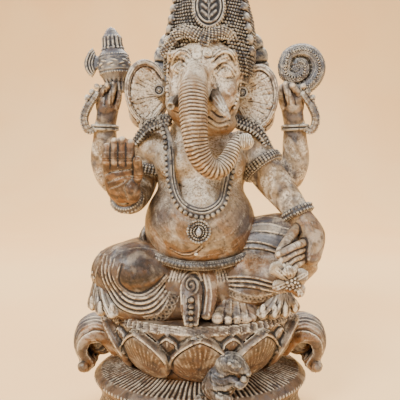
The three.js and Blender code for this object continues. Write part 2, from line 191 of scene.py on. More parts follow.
def polygon_distance(outline, x, y):
    """The signed distance to a closed outline, negative inside."""
    d = np.full(np.broadcast(x, y).shape, 1e9)
    inside = np.zeros(d.shape, bool)
    for (ax, ay), (bx, by) in zip(outline, outline[1:] + outline[:1]):
        ex, ey = bx - ax, by - ay
        px, py = x - ax, y - ay
        t = np.clip((px * ex + py * ey) / max(ex * ex + ey * ey, 1e-9), 0, 1)
        d = np.minimum(d, (px - ex * t) ** 2 + (py - ey * t) ** 2)
        if ay != by:
            inside ^= ((ay > y) != (by > y)) & (x < ex * (y - ay) / (by - ay) + ax)
    return np.sqrt(d) * np.where(inside, -1, 1)


def turned(profile, at, oval, lean, rounding=0.6):
    """A profile of (radius, height) turned about a vertical axis, squashed along Y and leaned towards +X."""
    outline = [(float(r), float(z)) for r, z in profile]
    room = 12  # how far the table of distances reaches past the profile
    grid = 0.4
    far = max(r for r, _ in outline) + room
    bottom = min(z for _, z in outline) - room
    top = max(z for _, z in outline) + room
    rr = np.arange(0, far, grid)
    zz = np.arange(bottom, top, grid)
    mirror = outline + [(-r, z) for r, z in reversed(outline) if r > 0]
    table = (polygon_distance(mirror, rr[:, None], zz[None, :]) - rounding).astype(np.float32)
    foot = outline[0][1]
    tilt = math.radians(lean)

    def distance(x, y, z):
        dx, dz = x - at[0], z - at[2] - foot
        ax = dx * math.cos(tilt) - dz * math.sin(tilt)
        az = dx * math.sin(tilt) + dz * math.cos(tilt) + foot
        r = np.sqrt(ax * ax + ((y - at[1]) / oval) ** 2)
        return sample_table(table, r / grid, (az - bottom) / grid)

    wide = far - room
    lean_room = abs(math.sin(tilt)) * (top - bottom)
    low = np.array([at[0] - wide - lean_room, at[1] - wide * oval, at[2] + bottom + room])
    high = np.array([at[0] + wide + lean_room, at[1] + wide * oval, at[2] + top - room])
    return [(low, high, distance)]


def sample_table(table, i, j):
    """The value between the entries of a table."""
    i = np.clip(i, 0, table.shape[0] - 1.001)
    j = np.clip(j, 0, table.shape[1] - 1.001)
    a, b = i.astype(np.int32), j.astype(np.int32)
    s, t = i - a, j - b
    return ((1 - s) * (1 - t) * table[a, b] + s * (1 - t) * table[a + 1, b]
            + (1 - s) * t * table[a, b + 1] + s * t * table[a + 1, b + 1])


def rounded(edge, face, rounding):
    """The distance to a flat thing from those to its outline and its faces, both drawn in by the rounding."""
    outside = np.hypot(np.maximum(edge, 0), np.maximum(face, 0))
    return outside + np.minimum(np.maximum(edge, face), 0) - rounding


def plate(outline, at_y, thick, rounding):
    """A closed outline in the XZ plane, as thick as said along Y, with rounded edges."""
    points = [tuple(map(float, p)) for p in outline]
    xs, zs = zip(*points)

    def distance(x, y, z):
        flat = polygon_distance(points, x.reshape(-1, 1), z.reshape(1, -1))
        edge = flat[:, None, :] + rounding
        face = np.abs(y - at_y) - thick / 2 + rounding
        return rounded(edge, face, rounding)

    low = np.array([min(xs), at_y - thick / 2, min(zs)])
    high = np.array([max(xs), at_y + thick / 2, max(zs)])
    return [(low, high, distance)]


def hoop(at, toward, radius, wide, thick):
    """A ring about the line from one point towards another. Its section is wide along that line."""
    at = np.array(at, float)
    axis = np.array(toward, float) - at
    axis /= np.linalg.norm(axis)

    def distance(x, y, z):
        dx, dy, dz = x - at[0], y - at[1], z - at[2]
        along = dx * axis[0] + dy * axis[1] + dz * axis[2]
        out = np.sqrt(np.maximum(dx * dx + dy * dy + dz * dz - along * along, 0)) - radius
        return (np.sqrt((along / wide) ** 2 + (out / thick) ** 2) - 1) * min(wide, thick)

    reach = radius + max(wide, thick)
    return [(at - reach, at + reach, distance)]


def circle(at, toward, radius, spacing=0.5):
    """Points round a line from one point towards another."""
    at = np.array(at, float)
    axis = np.array(toward, float) - at
    axis /= np.linalg.norm(axis)
    one = np.cross(axis, (0, 0, 1) if abs(axis[2]) < 0.9 else (0, 1, 0))
    one /= np.linalg.norm(one)
    two = np.cross(axis, one)
    angle = np.linspace(0, TURN, max(12, int(TURN * radius / spacing)) + 1)[:, None]
    return at + radius * (np.cos(angle) * one + np.sin(angle) * two)


def disc(at, half_width, half_height, thick, turn=(0, 0, 0), rounding=1.0):
    """A flat oval facing the front, with rounded edges."""
    at = np.array(at, float)
    m = turned_back(turn)
    size = min(half_width, half_height)

    def distance(x, y, z):
        dx, dy, dz = x - at[0], y - at[1], z - at[2]
        u, v, w = (m[k, 0] * dx + m[k, 1] * dy + m[k, 2] * dz for k in range(3))
        edge = (np.sqrt((u / half_width) ** 2 + (w / half_height) ** 2) - 1) * size + rounding
        face = np.abs(v) - thick / 2 + rounding
        return rounded(edge, face, rounding)

    reach = np.array([half_width, half_width if any(turn) else thick, half_height]) + 1
    return [(at - reach, at + reach, distance)]


def mixed(t):
    """Rises smoothly from 0 to 1 as t does."""
    return np.clip(t, 0, 1) ** 2 * (3 - 2 * np.clip(t, 0, 1))


def noise(x, y, z, size, seed=0):
    """Smooth uneven hills between -1 and 1, as wide as size, from crossed waves. Each seed gives its own."""
    total = 0
    for octave in range(3):
        a = seed * 7.3 + octave * 2.1
        k = TURN / (size / 1.9**octave)
        total = total + (np.sin(k * (0.8 * x + 0.6 * z) + a) * np.sin(k * (0.7 * y - 0.5 * x) + 2 * a)
                         + np.sin(k * (0.6 * z - 0.7 * y) + 3 * a)) / 1.8**octave
    return total / 2.9


# ---- Clay: a field on a grid, and what is done to it ----

def smooth_min(a, b, blend):
    """The smaller of two fields, with their meeting filled in over the blend."""
    if blend <= 0:
        return np.minimum(a, b)
    h = np.clip(0.5 + 0.5 * (b - a) / blend, 0, 1)
    return b + (a - b) * h - blend * h * (1 - h)


def trilinear(field, low, step, points):
    """The field at any points."""
    at = np.clip((points - low) / step, 0, np.array(field.shape) - 1.001)
    i = at.astype(np.int32)
    f = (at - i).astype(np.float32)
    out = 0
    for dx in (0, 1):
        for dy in (0, 1):
            for dz in (0, 1):
                w = f[:, 0] if dx else 1 - f[:, 0]
                w = w * (f[:, 1] if dy else 1 - f[:, 1])
                w = w * (f[:, 2] if dz else 1 - f[:, 2])
                out = out + w * field[i[:, 0] + dx, i[:, 1] + dy, i[:, 2] + dz]
    return out


def blurred(field, radius):
    """The field averaged over a cube, twice over, which is nearly a round blur."""
    for _ in range(2):
        for axis in range(3):
            padded = np.moveaxis(field, axis, 0)
            edge = np.concatenate([padded[:1]] * (radius + 1) + [padded] + [padded[-1:]] * radius)
            total = np.cumsum(edge, axis=0, dtype=np.float32)
            field = np.moveaxis((total[2 * radius + 1:] - total[:-2 * radius - 1]) / (2 * radius + 1), 0,
                                axis)
    return field


class Clay:
    """The field of one piece. Its own places are offsets, in millimetres, from the middle of its CAD box.

    The pieces below are laid out in the frame's millimetres. at(), route(), flat(), front() and lathe() take
    such places and turn them into offsets. A mirrored piece is shaped as its twin on the other side, and is
    turned over as it is meshed."""

    def __init__(self, node, step=LIMB_STEP, margin=MARGIN, mirrored=False):
        low, high = box(node)
        self.node = node
        self.step = step
        self.mirrored = mirrored
        self.middle = (low + high) / 2
        self.home = self.middle * ((-1, 1, 1) if mirrored else (1, 1, 1))  # as the piece is shaped
        self.low = (low - high) / 2 - margin
        shape = np.ceil((high - low + 2 * margin) / step).astype(int)
        self.field = np.full(shape, FAR, np.float32)
        self.raised = np.zeros(shape, np.float32)
        self.sunk = np.zeros(shape, np.float32)
        self.wash = {}

    def at(self, x, y, z):
        """The offset of a place in the frame."""
        return np.array([x, y, z], float) - self.home

    def route(self, *places):
        return [self.at(*place) for place in places]

    def flat(self, places):
        """The offsets of (x, z) places."""
        return [(x - self.home[0], z - self.home[2]) for x, z in places]

    def lathe(self, profile, x, y, oval=1.0, lean=0.0):
        """A profile of (radius, height in the frame) turned about an upright line through (x, y)."""
        shifted = [(radius, height - self.home[2]) for radius, height in profile]
        return turned(shifted, (x - self.home[0], y - self.home[1], 0), oval, lean)

    def window(self, low, high):
        """The part of the grid between two corners, and the places of its cells along each axis."""
        first = np.clip(np.floor((low - self.low) / self.step).astype(int), 0, self.field.shape)
        last = np.clip(np.ceil((high - self.low) / self.step).astype(int) + 1, 0, self.field.shape)
        place = tuple(slice(a, b) for a, b in zip(first, last))
        x, y, z = ((self.low[k] + self.step * np.arange(first[k], last[k])).astype(np.float32)
                   for k in range(3))
        return place, x[:, None, None], y[None, :, None], z[None, None, :]

    def measure(self, shape, reach):
        """The distance to a shape of many parts, in the window that holds it."""
        low = np.min([p[0] for p in shape], axis=0) - reach
        high = np.max([p[1] for p in shape], axis=0) + reach
        place = self.window(low, high)[0]
        whole = np.full(self.field.shape, FAR, np.float32)[place] if len(shape) > 1 else None
        start = [s.start for s in place]
        for part_low, part_high, distance in shape:
            sub, x, y, z = self.window(part_low - reach, part_high + reach)
            if any(s.stop <= s.start for s in sub):
                continue
            found = distance(x, y, z)
            if whole is None:
                return sub, found
            local = tuple(slice(s.start - a, s.stop - a) for s, a in zip(sub, start))
            whole[local] = np.minimum(whole[local], found)
        return place, whole

    def add(self, shape, blend=2.0):
        place, found = self.measure(shape, blend + 3)
        if found is not None:
            self.field[place] = smooth_min(self.field[place], found, blend)

    def cut(self, shape, blend=1.0):
        place, found = self.measure(shape, blend + 3)
        if found is not None:
            self.field[place] = -smooth_min(-self.field[place], found, blend)

    def land(self, points, direction=(0, 1, 0)):
        """Where rays through the points, from outside the box, first meet the clay. Misses are dropped."""
        ray = np.array(direction, float) / np.linalg.norm(direction)
        points = np.array(points, float)
        low, high = self.low, self.low + self.step * (np.array(self.field.shape) - 1)
        with np.errstate(divide="ignore", invalid="ignore"):
            a, b = (low - points) / ray, (high - points) / ray
        enter = np.nanmax(np.where(ray != 0, np.minimum(a, b), -np.inf), axis=1)
        leave = np.nanmin(np.where(ray != 0, np.maximum(a, b), np.inf), axis=1)
        gone = enter.copy()
        met = np.zeros(len(points), bool)
        for _ in range(160):
            value = trilinear(self.field, self.low, self.step, points + ray * gone[:, None])
            met = value < 0.05 * self.step
            gone = np.where(met, gone, gone + np.maximum(0.6 * value, 0.12 * self.step))
            if (met | (gone > leave)).all():
                break
        kept = met & (gone <= leave)
        return (points + ray * gone[:, None])[kept]

    def front(self, places, spacing=0.8):
        """A curve through (x, z) places, laid on the clay as seen from the front."""
        return self.land(curve([(x, 0, z) for x, z in self.flat(places)], spacing))

    def front_spot(self, x, z, right=0.3):
        """Where one (x, z) place meets the clay as seen from the front; none where it misses."""
        return self.front(((x, z), (x + right, z)))[:1]

    def stamp(self, target, points, width, height):
        """Raises the target array in a soft ridge along the points."""
        reach = width * 1.8
        for p in points:
            place, x, y, z = self.window(p - reach, p + reach)
            square = (x - p[0]) ** 2 + (y - p[1]) ** 2 + (z - p[2]) ** 2
            target[place] = np.maximum(target[place], height * np.exp(-square / (0.5 * width * width)))

    def ridge(self, points, width, height, pale=0.0):
        """A rounded ridge along fine points, with a paler top."""
        if pale:
            self.paint("pale", points, width * 0.6, pale)
        self.stamp(self.raised, points, width, height)

    def groove(self, points, width, depth, dark=0.0):
        """A rounded groove along fine points, with the dark wash left in it."""
        if dark:
            self.paint("dark", points, width * 0.85, dark)
        self.stamp(self.sunk, points, width, depth)

    def layer(self, wash):
        if wash not in self.wash:
            self.wash[wash] = np.zeros(self.field.shape, np.float32)
        return self.wash[wash]

    def paint(self, wash, points, width, strength):
        """A wash along fine points. A pale one also marks a line, which the dark washes leave clear."""
        if wash == "pale":
            self.paint("line", points, width, strength)
        self.stamp(self.layer(wash), points, width, strength)

    def beads(self, points, radius, every):
        """A string of beads along a fine path, half sunk in the clay."""
        if len(points) < 2:
            return
        along = distances(points)
        count = max(1, int(along[-1] / every))
        even = np.linspace(0, along[-1], count + 1)
        self.studs(np.stack([np.interp(even, along, points[:, k]) for k in range(3)], axis=1), radius)

    def studs(self, spots, radius):
        """Small balls on the clay, rubbed pale."""
        for p in spots:
            place, x, y, z = self.window(p - radius - 1.5, p + radius + 1.5)
            d = np.sqrt((x - p[0]) ** 2 + (y - p[1]) ** 2 + (z - p[2]) ** 2) - radius
            self.field[place] = np.minimum(self.field[place], d)
        self.paint("pale", spots, radius * 0.7, 0.35)

    def skin(self):
        """Picks the cells near the surface, and gives their offsets."""
        self.cells = np.nonzero(np.abs(self.field) < SKIN)
        return [self.low[k] + self.step * self.cells[k].astype(np.float32) for k in range(3)]

    def skin_in_frame(self):
        """Picks the cells near the surface, and gives their places in the frame."""
        return [offset + middle for offset, middle in zip(self.skin(), self.home)]

    def lift(self, height):
        """Raises the cells that were picked last."""
        self.raised[self.cells] += height

    def sink(self, depth):
        self.sunk[self.cells] += depth

    def tint(self, wash, strength):
        """Washes the cells that were picked last. On the torso and crown some of these washes are painted
        shade.
        """
        layer = self.layer(wash)
        layer[self.cells] = np.maximum(layer[self.cells], strength)

    def wrap(self, path):
        """Picks the cells near the surface, and gives how far along a path they lie and their way from it."""
        where = np.stack(self.skin(), axis=1)
        best = np.full(len(where), np.inf, np.float32)
        nearest = np.zeros(len(where), int)
        for k, p in enumerate(path.astype(np.float32)):
            d = ((where - p) ** 2).sum(axis=1)
            closer = d < best
            best[closer] = d[closer]
            nearest[closer] = k
        along = distances(path)
        after = np.minimum(nearest + 1, len(path) - 1)
        before = np.maximum(nearest - 1, 0)
        ahead = path[after] - path[before]
        ahead /= np.maximum(np.linalg.norm(ahead, axis=1), 1e-6)[:, None]
        offset = where - path[nearest]
        return along[nearest] + (offset * ahead).sum(axis=1), offset


class Axle:
    """A line that leans towards +X from its foot: angles round it, places along it, and rings about it."""

    def __init__(self, clay, x, y, foot, lean, oval=1.0):
        self.clay = clay
        self.foot = (x, y, foot)
        self.oval = oval
        self.lean_cos = math.cos(math.radians(lean))
        self.lean_sin = math.sin(math.radians(lean))

    def measure(self, x, y, z):
        """The angle, radius and height above the foot of offsets in the clay."""
        right, back, up = (v + middle - foot for v, middle,
                           foot in zip((x, y, z), self.clay.home, self.foot))
        across = right * self.lean_cos - up * self.lean_sin
        back = back / self.oval
        return np.arctan2(back, across), np.hypot(across, back), right * self.lean_sin + up * self.lean_cos

    def ring(self, radius, height, count=240):
        """Offsets round the line at a height above its foot."""
        turn = np.linspace(0, TURN, count)
        right = radius * np.cos(turn)
        x = self.foot[0] + right * self.lean_cos + height * self.lean_sin
        y = self.foot[1] + radius * self.oval * np.sin(turn)
        z = self.foot[2] + height * self.lean_cos - right * self.lean_sin
        return np.stack([x, y, z], axis=1) - self.clay.home


# ---- From clay to a Blender piece ----

pieces = []


def mesh_of(name, clay):
    """The surface of the clay as a mesh in metres, with its points as offsets and as places in the frame."""
    grid = vdb.FloatGrid(FAR)
    grid.copyFromArray(clay.field)
    points, triangles, quads = grid.convertToPolygons(isovalue=0.0, adaptivity=0.0)
    points = points * clay.step + clay.low
    if clay.mirrored:
        triangles, quads = triangles[:, ::-1], quads[:, ::-1]
    corners = np.concatenate([triangles.ravel(), quads.ravel()]).astype(np.int32)
    starts = np.concatenate([np.arange(len(triangles)) * 3, 3 * len(triangles) + np.arange(len(quads)) * 4])
    mesh = bpy.data.meshes.new(name)
    mesh.vertices.add(len(points))
    placed = points * ((-1, 1, 1) if clay.mirrored else (1, 1, 1)) + clay.middle
    mesh.vertices.foreach_set("co", (placed * MM).astype(np.float32).ravel())
    mesh.loops.add(len(corners))
    mesh.loops.foreach_set("vertex_index", corners)
    mesh.polygons.add(len(starts))
    mesh.polygons.foreach_set("loop_start", starts.astype(np.int32))
    mesh.update(calc_edges=True)
    return mesh, points, placed


def piece(clay, slot):
    """Meshes the clay as the piece that stands for its CAD node."""
    clay.field += clay.sunk - clay.raised
    if "line" in clay.wash and "dark" in clay.wash:
        clay.wash["dark"] *= 1 - np.clip(clay.wash["line"], 0, 1)
    mesh, points, placed = mesh_of(clay.node + "_piece", clay)
    full = np.clip(0.5 - clay.field / (2 * clay.step), 0, 1)
    near = max(1, round(1.0 / clay.step))
    wide = max(2, round(2.6 / clay.step))
    recess = trilinear(blurred(full, near), clay.low, clay.step, points)
    hollow = trilinear(blurred(full, wide), clay.low, clay.step, points)
    # the wash channels hold painted washes, and on the torso and crown they also hold painted shade
    attribute(mesh, "wash", [trilinear(clay.layer(w), clay.low, clay.step, points) for w in WASHES])
    mesh.shade_smooth()
    mesh.materials.append(MATERIALS[slot])
    made = bpy.data.objects.new(mesh.name, mesh)
    bpy.context.collection.objects.link(made)
    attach(made, "root")
    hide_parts(clay.node)
    gather(clay)
    pieces.append((mesh, placed, recess, hollow))


def attribute(mesh, name, channels):
    """Four values at each point, for a material to read."""
    layer = mesh.color_attributes.new(name, "FLOAT_COLOR", "POINT")
    layer.data.foreach_set("color", np.stack(channels, axis=1).astype(np.float32).ravel())


crowd_low = np.array(CAD_BOX[0]) / MM - 20
crowd_size = np.ceil((np.array(CAD_BOX[1]) / MM + 20 - crowd_low) / COARSE).astype(int)
crowd = np.full(crowd_size, FAR, np.float32)


def gather(clay):
    """Adds a piece to the coarse field of the whole idol."""
    field = clay.field[::-1] if clay.mirrored else clay.field
    extent = clay.step * (np.array(clay.field.shape) - 1)
    low = clay.low + clay.middle
    if clay.mirrored:
        low[0] = clay.middle[0] - clay.low[0] - extent[0]
    first = np.maximum(np.ceil((low - crowd_low) / COARSE).astype(int), 0)
    last = np.minimum(np.floor((low + extent - crowd_low) / COARSE).astype(int), crowd_size - 1)
    ticks = [np.round((crowd_low[k] + COARSE * np.arange(first[k], last[k] + 1) - low[k])
                      / clay.step).astype(int)
             for k in range(3)]
    ticks = [np.clip(t, 0, n - 1) for t, n in zip(ticks, field.shape)]
    place = tuple(slice(a, b + 1) for a, b in zip(first, last))
    crowd[place] = np.minimum(crowd[place], field[np.ix_(*ticks)])


def write_relief():
    """Stores at each point how deep it lies: in fine relief, in broad relief, and among the other pieces. The
    resin paints shade from the last of these.
    """
    full = blurred(np.clip(0.5 - crowd / (2 * COARSE), 0, 1), 2)
    for mesh, points, recess, hollow in pieces:
        crowded = trilinear(full, crowd_low, COARSE, points)
        attribute(mesh, "relief", [recess, hollow, crowded, np.ones(len(points))])


# ---- Materials ----

def linear(red, green, blue):
    """A colour given in 0 to 255 steps of sRGB, as the shader's linear values."""
    def straight(value):
        return value / 255 / 12.92 if value < 11 else ((value / 255 + 0.055) / 1.055) ** 2.4

    return (straight(red), straight(green), straight(blue), 1)


class Shader:
    """A material, and short ways to add its nodes."""

    def __init__(self, name):
        self.material = bpy.data.materials.new(name)
        self.material.use_nodes = True
        self.tree = self.material.node_tree
        self.shader = self.tree.nodes["Principled BSDF"]
        self.coordinates = self.node("ShaderNodeTexCoord").outputs["Object"]

    def node(self, kind, **settings):
        made = self.tree.nodes.new(kind)
        for key, value in settings.items():
            setattr(made, key, value)
        return made

    def plug(self, value, socket):
        if isinstance(value, bpy.types.NodeSocket):
            self.tree.links.new(value, socket)
        else:
            socket.default_value = value

    def maths(self, operation, a, b, clamp=False):
        made = self.node("ShaderNodeMath", operation=operation, use_clamp=clamp)
        self.plug(a, made.inputs[0])
        self.plug(b, made.inputs[1])
        return made.outputs[0]

    def times(self, a, b):
        return self.maths("MULTIPLY", a, b)

    def plus(self, a, b, clamp=False):
        return self.maths("ADD", a, b, clamp)

    def step(self, value, low, high, top=1.0):
        """Rises smoothly from 0 at low to top at high."""
        made = self.node("ShaderNodeMapRange", interpolation_type="SMOOTHSTEP")
        for socket, v in zip(("Value", "From Min", "From Max", "To Min", "To Max"),
                             (value, low, high, 0.0, top)):
            self.plug(v, made.inputs[socket])
        return made.outputs[0]

    def cloud(self, scale, detail=3.0, distort=0.0, shift=0.0, stretch=(1, 1, 1), turn=(0, 0, 0)):
        """Uneven clouds from 0 to 1, finer as the scale grows."""
        place = self.node("ShaderNodeMapping")
        place.inputs["Location"].default_value = (shift, shift * 0.7, shift * 1.3)
        place.inputs["Scale"].default_value = stretch
        place.inputs["Rotation"].default_value = turn
        self.plug(self.coordinates, place.inputs["Vector"])
        made = self.node("ShaderNodeTexNoise")
        self.plug(place.outputs[0], made.inputs["Vector"])
        made.inputs["Scale"].default_value = scale
        made.inputs["Detail"].default_value = detail
        made.inputs["Distortion"].default_value = distort
        return made.outputs["Fac"]

    def blend(self, a, b, factor):
        made = self.node("ShaderNodeMix", data_type="RGBA")
        self.plug(factor, made.inputs["Factor"])
        self.plug(a, made.inputs["A"])
        self.plug(b, made.inputs["B"])
        return made.outputs["Result"]

    def bump(self, height, distance, strength):
        made = self.node("ShaderNodeBump")
        made.inputs["Distance"].default_value = distance
        made.inputs["Strength"].default_value = strength
        self.plug(height, made.inputs["Height"])
        self.plug(made.outputs[0], self.shader.inputs["Normal"])


def resin(name, palette, worn, cool_amount, warm_amount, rough):
    """Cast resin under a dark wash, rubbed back to a pale coat on whatever stands proud. Its warm tone is
    also painted as shade on faces that look down and where other pieces crowd close.
    """
    s = Shader(name)
    base, second, recess, pale, warm, cool = (linear(*tint) for tint in palette)
    # the wash attribute holds painted washes, and on the torso and crown it also holds painted shade
    wash = s.node("ShaderNodeAttribute", attribute_name="wash")
    relief = s.node("ShaderNodeAttribute", attribute_name="relief")
    washes = s.node("ShaderNodeSeparateColor")
    depths = s.node("ShaderNodeSeparateColor")
    s.plug(wash.outputs["Color"], washes.inputs[0])
    s.plug(relief.outputs["Color"], depths.inputs[0])
    fine, broad, crowded = depths.outputs
    facing = s.node("ShaderNodeSeparateXYZ")
    s.plug(s.node("ShaderNodeNewGeometry").outputs["Normal"], facing.inputs[0])
    patches = s.cloud(42, 5, 0.6)
    mottle = s.cloud(190, 6, 0.8, 0.3)
    scuffs = s.cloud(620, 4, 0.4, 0.9)
    grain = s.cloud(1900, 3, 0, 0.2)
    brushed = s.cloud(95, 7, 1.4, 1.7)

    tone = s.blend(base, second, s.step(patches, 0.38, 0.62))
    tone = s.blend(tone, cool, s.plus(s.step(brushed, 0.5, 0.72, cool_amount), wash.outputs["Alpha"], True))
    # painted shade: faces that look down, and places hemmed in by the other pieces, take the darker warm tone
    # on top of the random warm blotches
    below = s.step(facing.outputs[2], -0.1, -0.8, 0.45)
    painted_contact_shade = s.step(crowded, 0.58, 0.86, 0.75)
    warm_blotches_and_painted_shade = s.plus(s.step(s.cloud(60, 5, 0.9, 2.6), 0.52, 0.72, warm_amount),
                    s.maths("MAXIMUM", below, painted_contact_shade))
    tone = s.blend(tone, warm, s.plus(warm_blotches_and_painted_shade, washes.outputs["Blue"], True))
    tone = s.blend(tone, recess, s.step(mottle, 0.52, 0.68, 0.55))
    deep = s.plus(s.step(fine, 0.503, 0.585, 0.95), s.step(broad, 0.52, 0.72, 0.75), True)
    deep = s.times(deep, s.step(scuffs, 0.12, 0.45, 1.0))
    tone = s.blend(tone, recess, s.plus(deep, washes.outputs["Green"], True))
    proud = s.times(s.step(fine, 0.470, 0.39), s.step(mottle, 0.36, 0.56))
    rubbed = s.times(s.step(s.cloud(75, 6, 0.5, 4.1), 0.50, 0.66), worn * 0.4)
    coat = s.times(s.plus(s.times(proud, worn), rubbed),
                 s.step(deep, 0.7, 0.1))
    broken = s.times(s.step(scuffs, 0.34, 0.58), s.step(mottle, 0.30, 0.46))
    coat = s.plus(coat, s.times(washes.outputs["Red"], broken), True)
    coat = s.times(coat, s.maths("SUBTRACT", 1.0, washes.outputs["Green"], True))
    tone = s.blend(tone, pale, coat)
    scratches = s.step(s.cloud(800, 4, stretch=(1, 1, 0.22), turn=(0.3, 0.5, 0.2)), 0.60, 0.70, 0.5)
    tone = s.blend(tone, recess, s.times(scratches, s.step(brushed, 0.42, 0.6)))
    specks = s.times(s.step(grain, 0.56, 0.68), s.step(mottle, 0.40, 0.58))
    tone = s.blend(tone, recess, s.times(specks, 0.7))
    tone = s.blend(tone, pale, s.step(s.cloud(1500, 2, 0, 5.5), 0.66, 0.76, 0.35))
    s.plug(tone, s.shader.inputs["Base Color"])

    gloss = s.plus(s.times(mottle, 0.3), s.times(deep, 0.22))
    s.plug(s.plus(gloss, rough - 0.14), s.shader.inputs["Roughness"])
    s.shader.inputs["Specular IOR Level"].default_value = 0.45
    height = s.plus(s.times(scuffs, 0.6), s.times(grain, 0.25))
    s.bump(s.plus(height, s.times(mottle, 0.9)), 0.0005, 0.55)
    return s.material


def felt():
    """Charcoal felt: a mat of short pale and dark fibres."""
    s = Shader("felt")
    fibres = s.cloud(1800, 6, 2.5)
    tone = s.blend(linear(34, 31, 29), linear(66, 60, 55), s.step(fibres, 0.35, 0.65))
    tone = s.blend(tone, linear(24, 22, 20), s.step(s.cloud(130, 4, 0.5, 1.1), 0.5, 0.7, 0.6))
    s.plug(tone, s.shader.inputs["Base Color"])
    s.plug(s.step(fibres, 0.2, 0.8, 1.0), s.shader.inputs["Roughness"])
    s.shader.inputs["Sheen Weight"].default_value = 0.5
    s.bump(fibres, 0.0006, 0.9)
    return s.material


def clear_stone():
    """A clear cut stone with faint clouds in it."""
    s = Shader("clear_stone")
    veil = s.cloud(900, 5, 1.2)
    s.plug(s.blend(linear(236, 240, 246), linear(206, 208, 214), s.step(veil, 0.4, 0.7)),
           s.shader.inputs["Base Color"])
    s.plug(s.step(veil, 0.3, 0.8, 0.16), s.shader.inputs["Roughness"])
    s.shader.inputs["Transmission Weight"].default_value = 0.35
    s.shader.inputs["IOR"].default_value = 1.7
    s.bump(veil, 0.0002, 0.3)
    return s.material


def pearl():
    """A painted bead with a soft nacre sheen."""
    s = Shader("pearl")
    veil = s.cloud(700, 5, 0.8)
    s.plug(s.blend(linear(240, 232, 214), linear(205, 188, 160), s.step(veil, 0.4, 0.68)),
           s.shader.inputs["Base Color"])
    s.plug(s.step(veil, 0.2, 0.9, 0.4), s.shader.inputs["Roughness"])
    s.shader.inputs["Coat Weight"].default_value = 0.6
    s.bump(veil, 0.0002, 0.3)
    return s.material


# Each palette is two ground tones, the recesses, the rubbed coat, and the warm and cool blotches. The warm
# tone also serves as painted shade under things and between pieces.
BODY = ((156, 132, 103), (177, 156, 127), (52, 39, 31), (248, 238, 220), (152, 108, 64), (98, 101, 112))
UMBER = ((121, 97, 76), (98, 80, 66), (30, 23, 19), (232, 217, 192), (138, 96, 56), (88, 91, 101))
SLATE = ((94, 86, 80), (76, 75, 79), (22, 20, 19), (220, 213, 198), (108, 80, 56), (98, 106, 122))
PALE = ((166, 150, 126), (136, 120, 102), (46, 36, 30), (244, 239, 226), (146, 106, 66), (108, 114, 127))

MATERIALS = {
    "antiqued_body": resin("antiqued_body", BODY, worn=0.85, cool_amount=0.4, warm_amount=0.3, rough=0.38),
    "umber_wash": resin("umber_wash", UMBER, worn=0.85, cool_amount=0.65, warm_amount=0.35, rough=0.36),
    "slate_wash": resin("slate_wash", SLATE, worn=0.7, cool_amount=0.65, warm_amount=0.3, rough=0.36),
    "pale_highlight": resin("pale_highlight", PALE, worn=0.85, cool_amount=0.5, warm_amount=0.25,
                            rough=0.42),
    "clear_stone": clear_stone(),
    "pearl": pearl(),
}


# ---- The pieces ----

def plinth():
    clay = Clay("plinth", BROAD_STEP, 4)
    oval = 70 / 93
    wall = [(0, 1.9), (87, 1.9), (91, 6), (88, 11), (87, 20), (89, 28), (93, 32), (93, 36), (90, 38.5),
            (63, 45.5), (0, 45.5)]
    clay.add(clay.lathe(wall, 0, 0, oval), 0)
    x, y, z = clay.skin_in_frame()
    angle = np.arctan2(y / oval, x)
    out = np.hypot(x, y / oval)
    apron = mixed((out - 62) / 3) * mixed((90 - out) / 2) * (z > 37)
    ribs = np.cos(angle * 64 + 0.8 * noise(x, y, z, 20)) ** 2
    worn = mixed(noise(x, y, z, 12, 4) * 1.5 + 0.55)
    clay.lift(1.2 * apron * ribs)
    clay.tint("pale", 0.5 * apron * ribs**5 * worn)
    clay.tint("dark", apron * (1 - ribs) ** 3 * (0.35 + 0.45 * worn))
    clay.tint("warm", apron * mixed(noise(x, y, z, 15, 9) * 2) * 0.6)
    side = mixed((z - 10) / 2) * mixed((29 - z) / 2) * (out > 80)
    leaf = np.abs(((angle * 36 / math.pi) % 2) - 1)
    arch = np.abs(np.hypot((leaf - 0.5) * 7.6, (z - 13) * 0.42) - 4.6)
    clay.lift(side * np.maximum(0, 1 - arch) * 0.9)
    fan = np.cos(angle * 36 * 8) * (np.hypot((leaf - 0.5) * 7.6, (z - 13) * 0.42) < 4.2)
    clay.lift(side * 0.35 * fan)
    upright = Axle(clay, 0, 0, 0, 0, oval)
    for height, radius, size, pitch in ((34.2, 93.2, 1.7, 3.6), (8.6, 89.6, 1.0, 2.6)):
        clay.beads(upright.ring(radius, height, 700), size, pitch)
    clay.ridge(upright.ring(88.5, 39.2, 700), 1.2, 0.7, 0.3)
    piece(clay, "umber_wash")


def leaf_share(u, v, wide, tall):
    """How far out a place lies on a pointed leaf: 0 at its middle, 1 at its edge. u is across and v up."""
    across, height = np.abs(u) / wide, np.abs(v) / tall
    return np.where(v > 0, (across**1.2 + height**1.56) ** (1 / 1.2), np.hypot(across, height))


class Petal:
    """A pointed leaf that stands on the bowl of the seat and leans out."""

    def __init__(self, middle, turn, lean, wide, thick, tall):
        face = np.array([math.cos(turn), math.sin(turn), 0])
        self.middle = middle
        self.across = np.array([-math.sin(turn), math.cos(turn), 0])
        self.up = math.cos(lean) * np.array([0, 0, 1]) + math.sin(lean) * face
        self.depth = np.cross(self.across, self.up)
        self.wide, self.thick, self.tall = wide, thick, tall

    def measure(self, x, y, z):
        """How far places are across and up the leaf, their share of its outline, and their distance to it."""
        dx, dy, dz = x - self.middle[0], y - self.middle[1], z - self.middle[2]
        u, v, w = (dx * way[0] + dy * way[1] + dz * way[2] for way in (self.across, self.up, self.depth))
        share = leaf_share(u, v, self.wide, self.tall)
        return u, v, share, (np.sqrt(share * share + (w / self.thick) ** 2) - 1) * self.thick

    def shape(self):
        reach = np.array([self.wide + 6, self.wide + 6, self.tall + 8])
        return [(self.middle - reach, self.middle + reach, lambda x, y, z: self.measure(x, y, z)[3])]


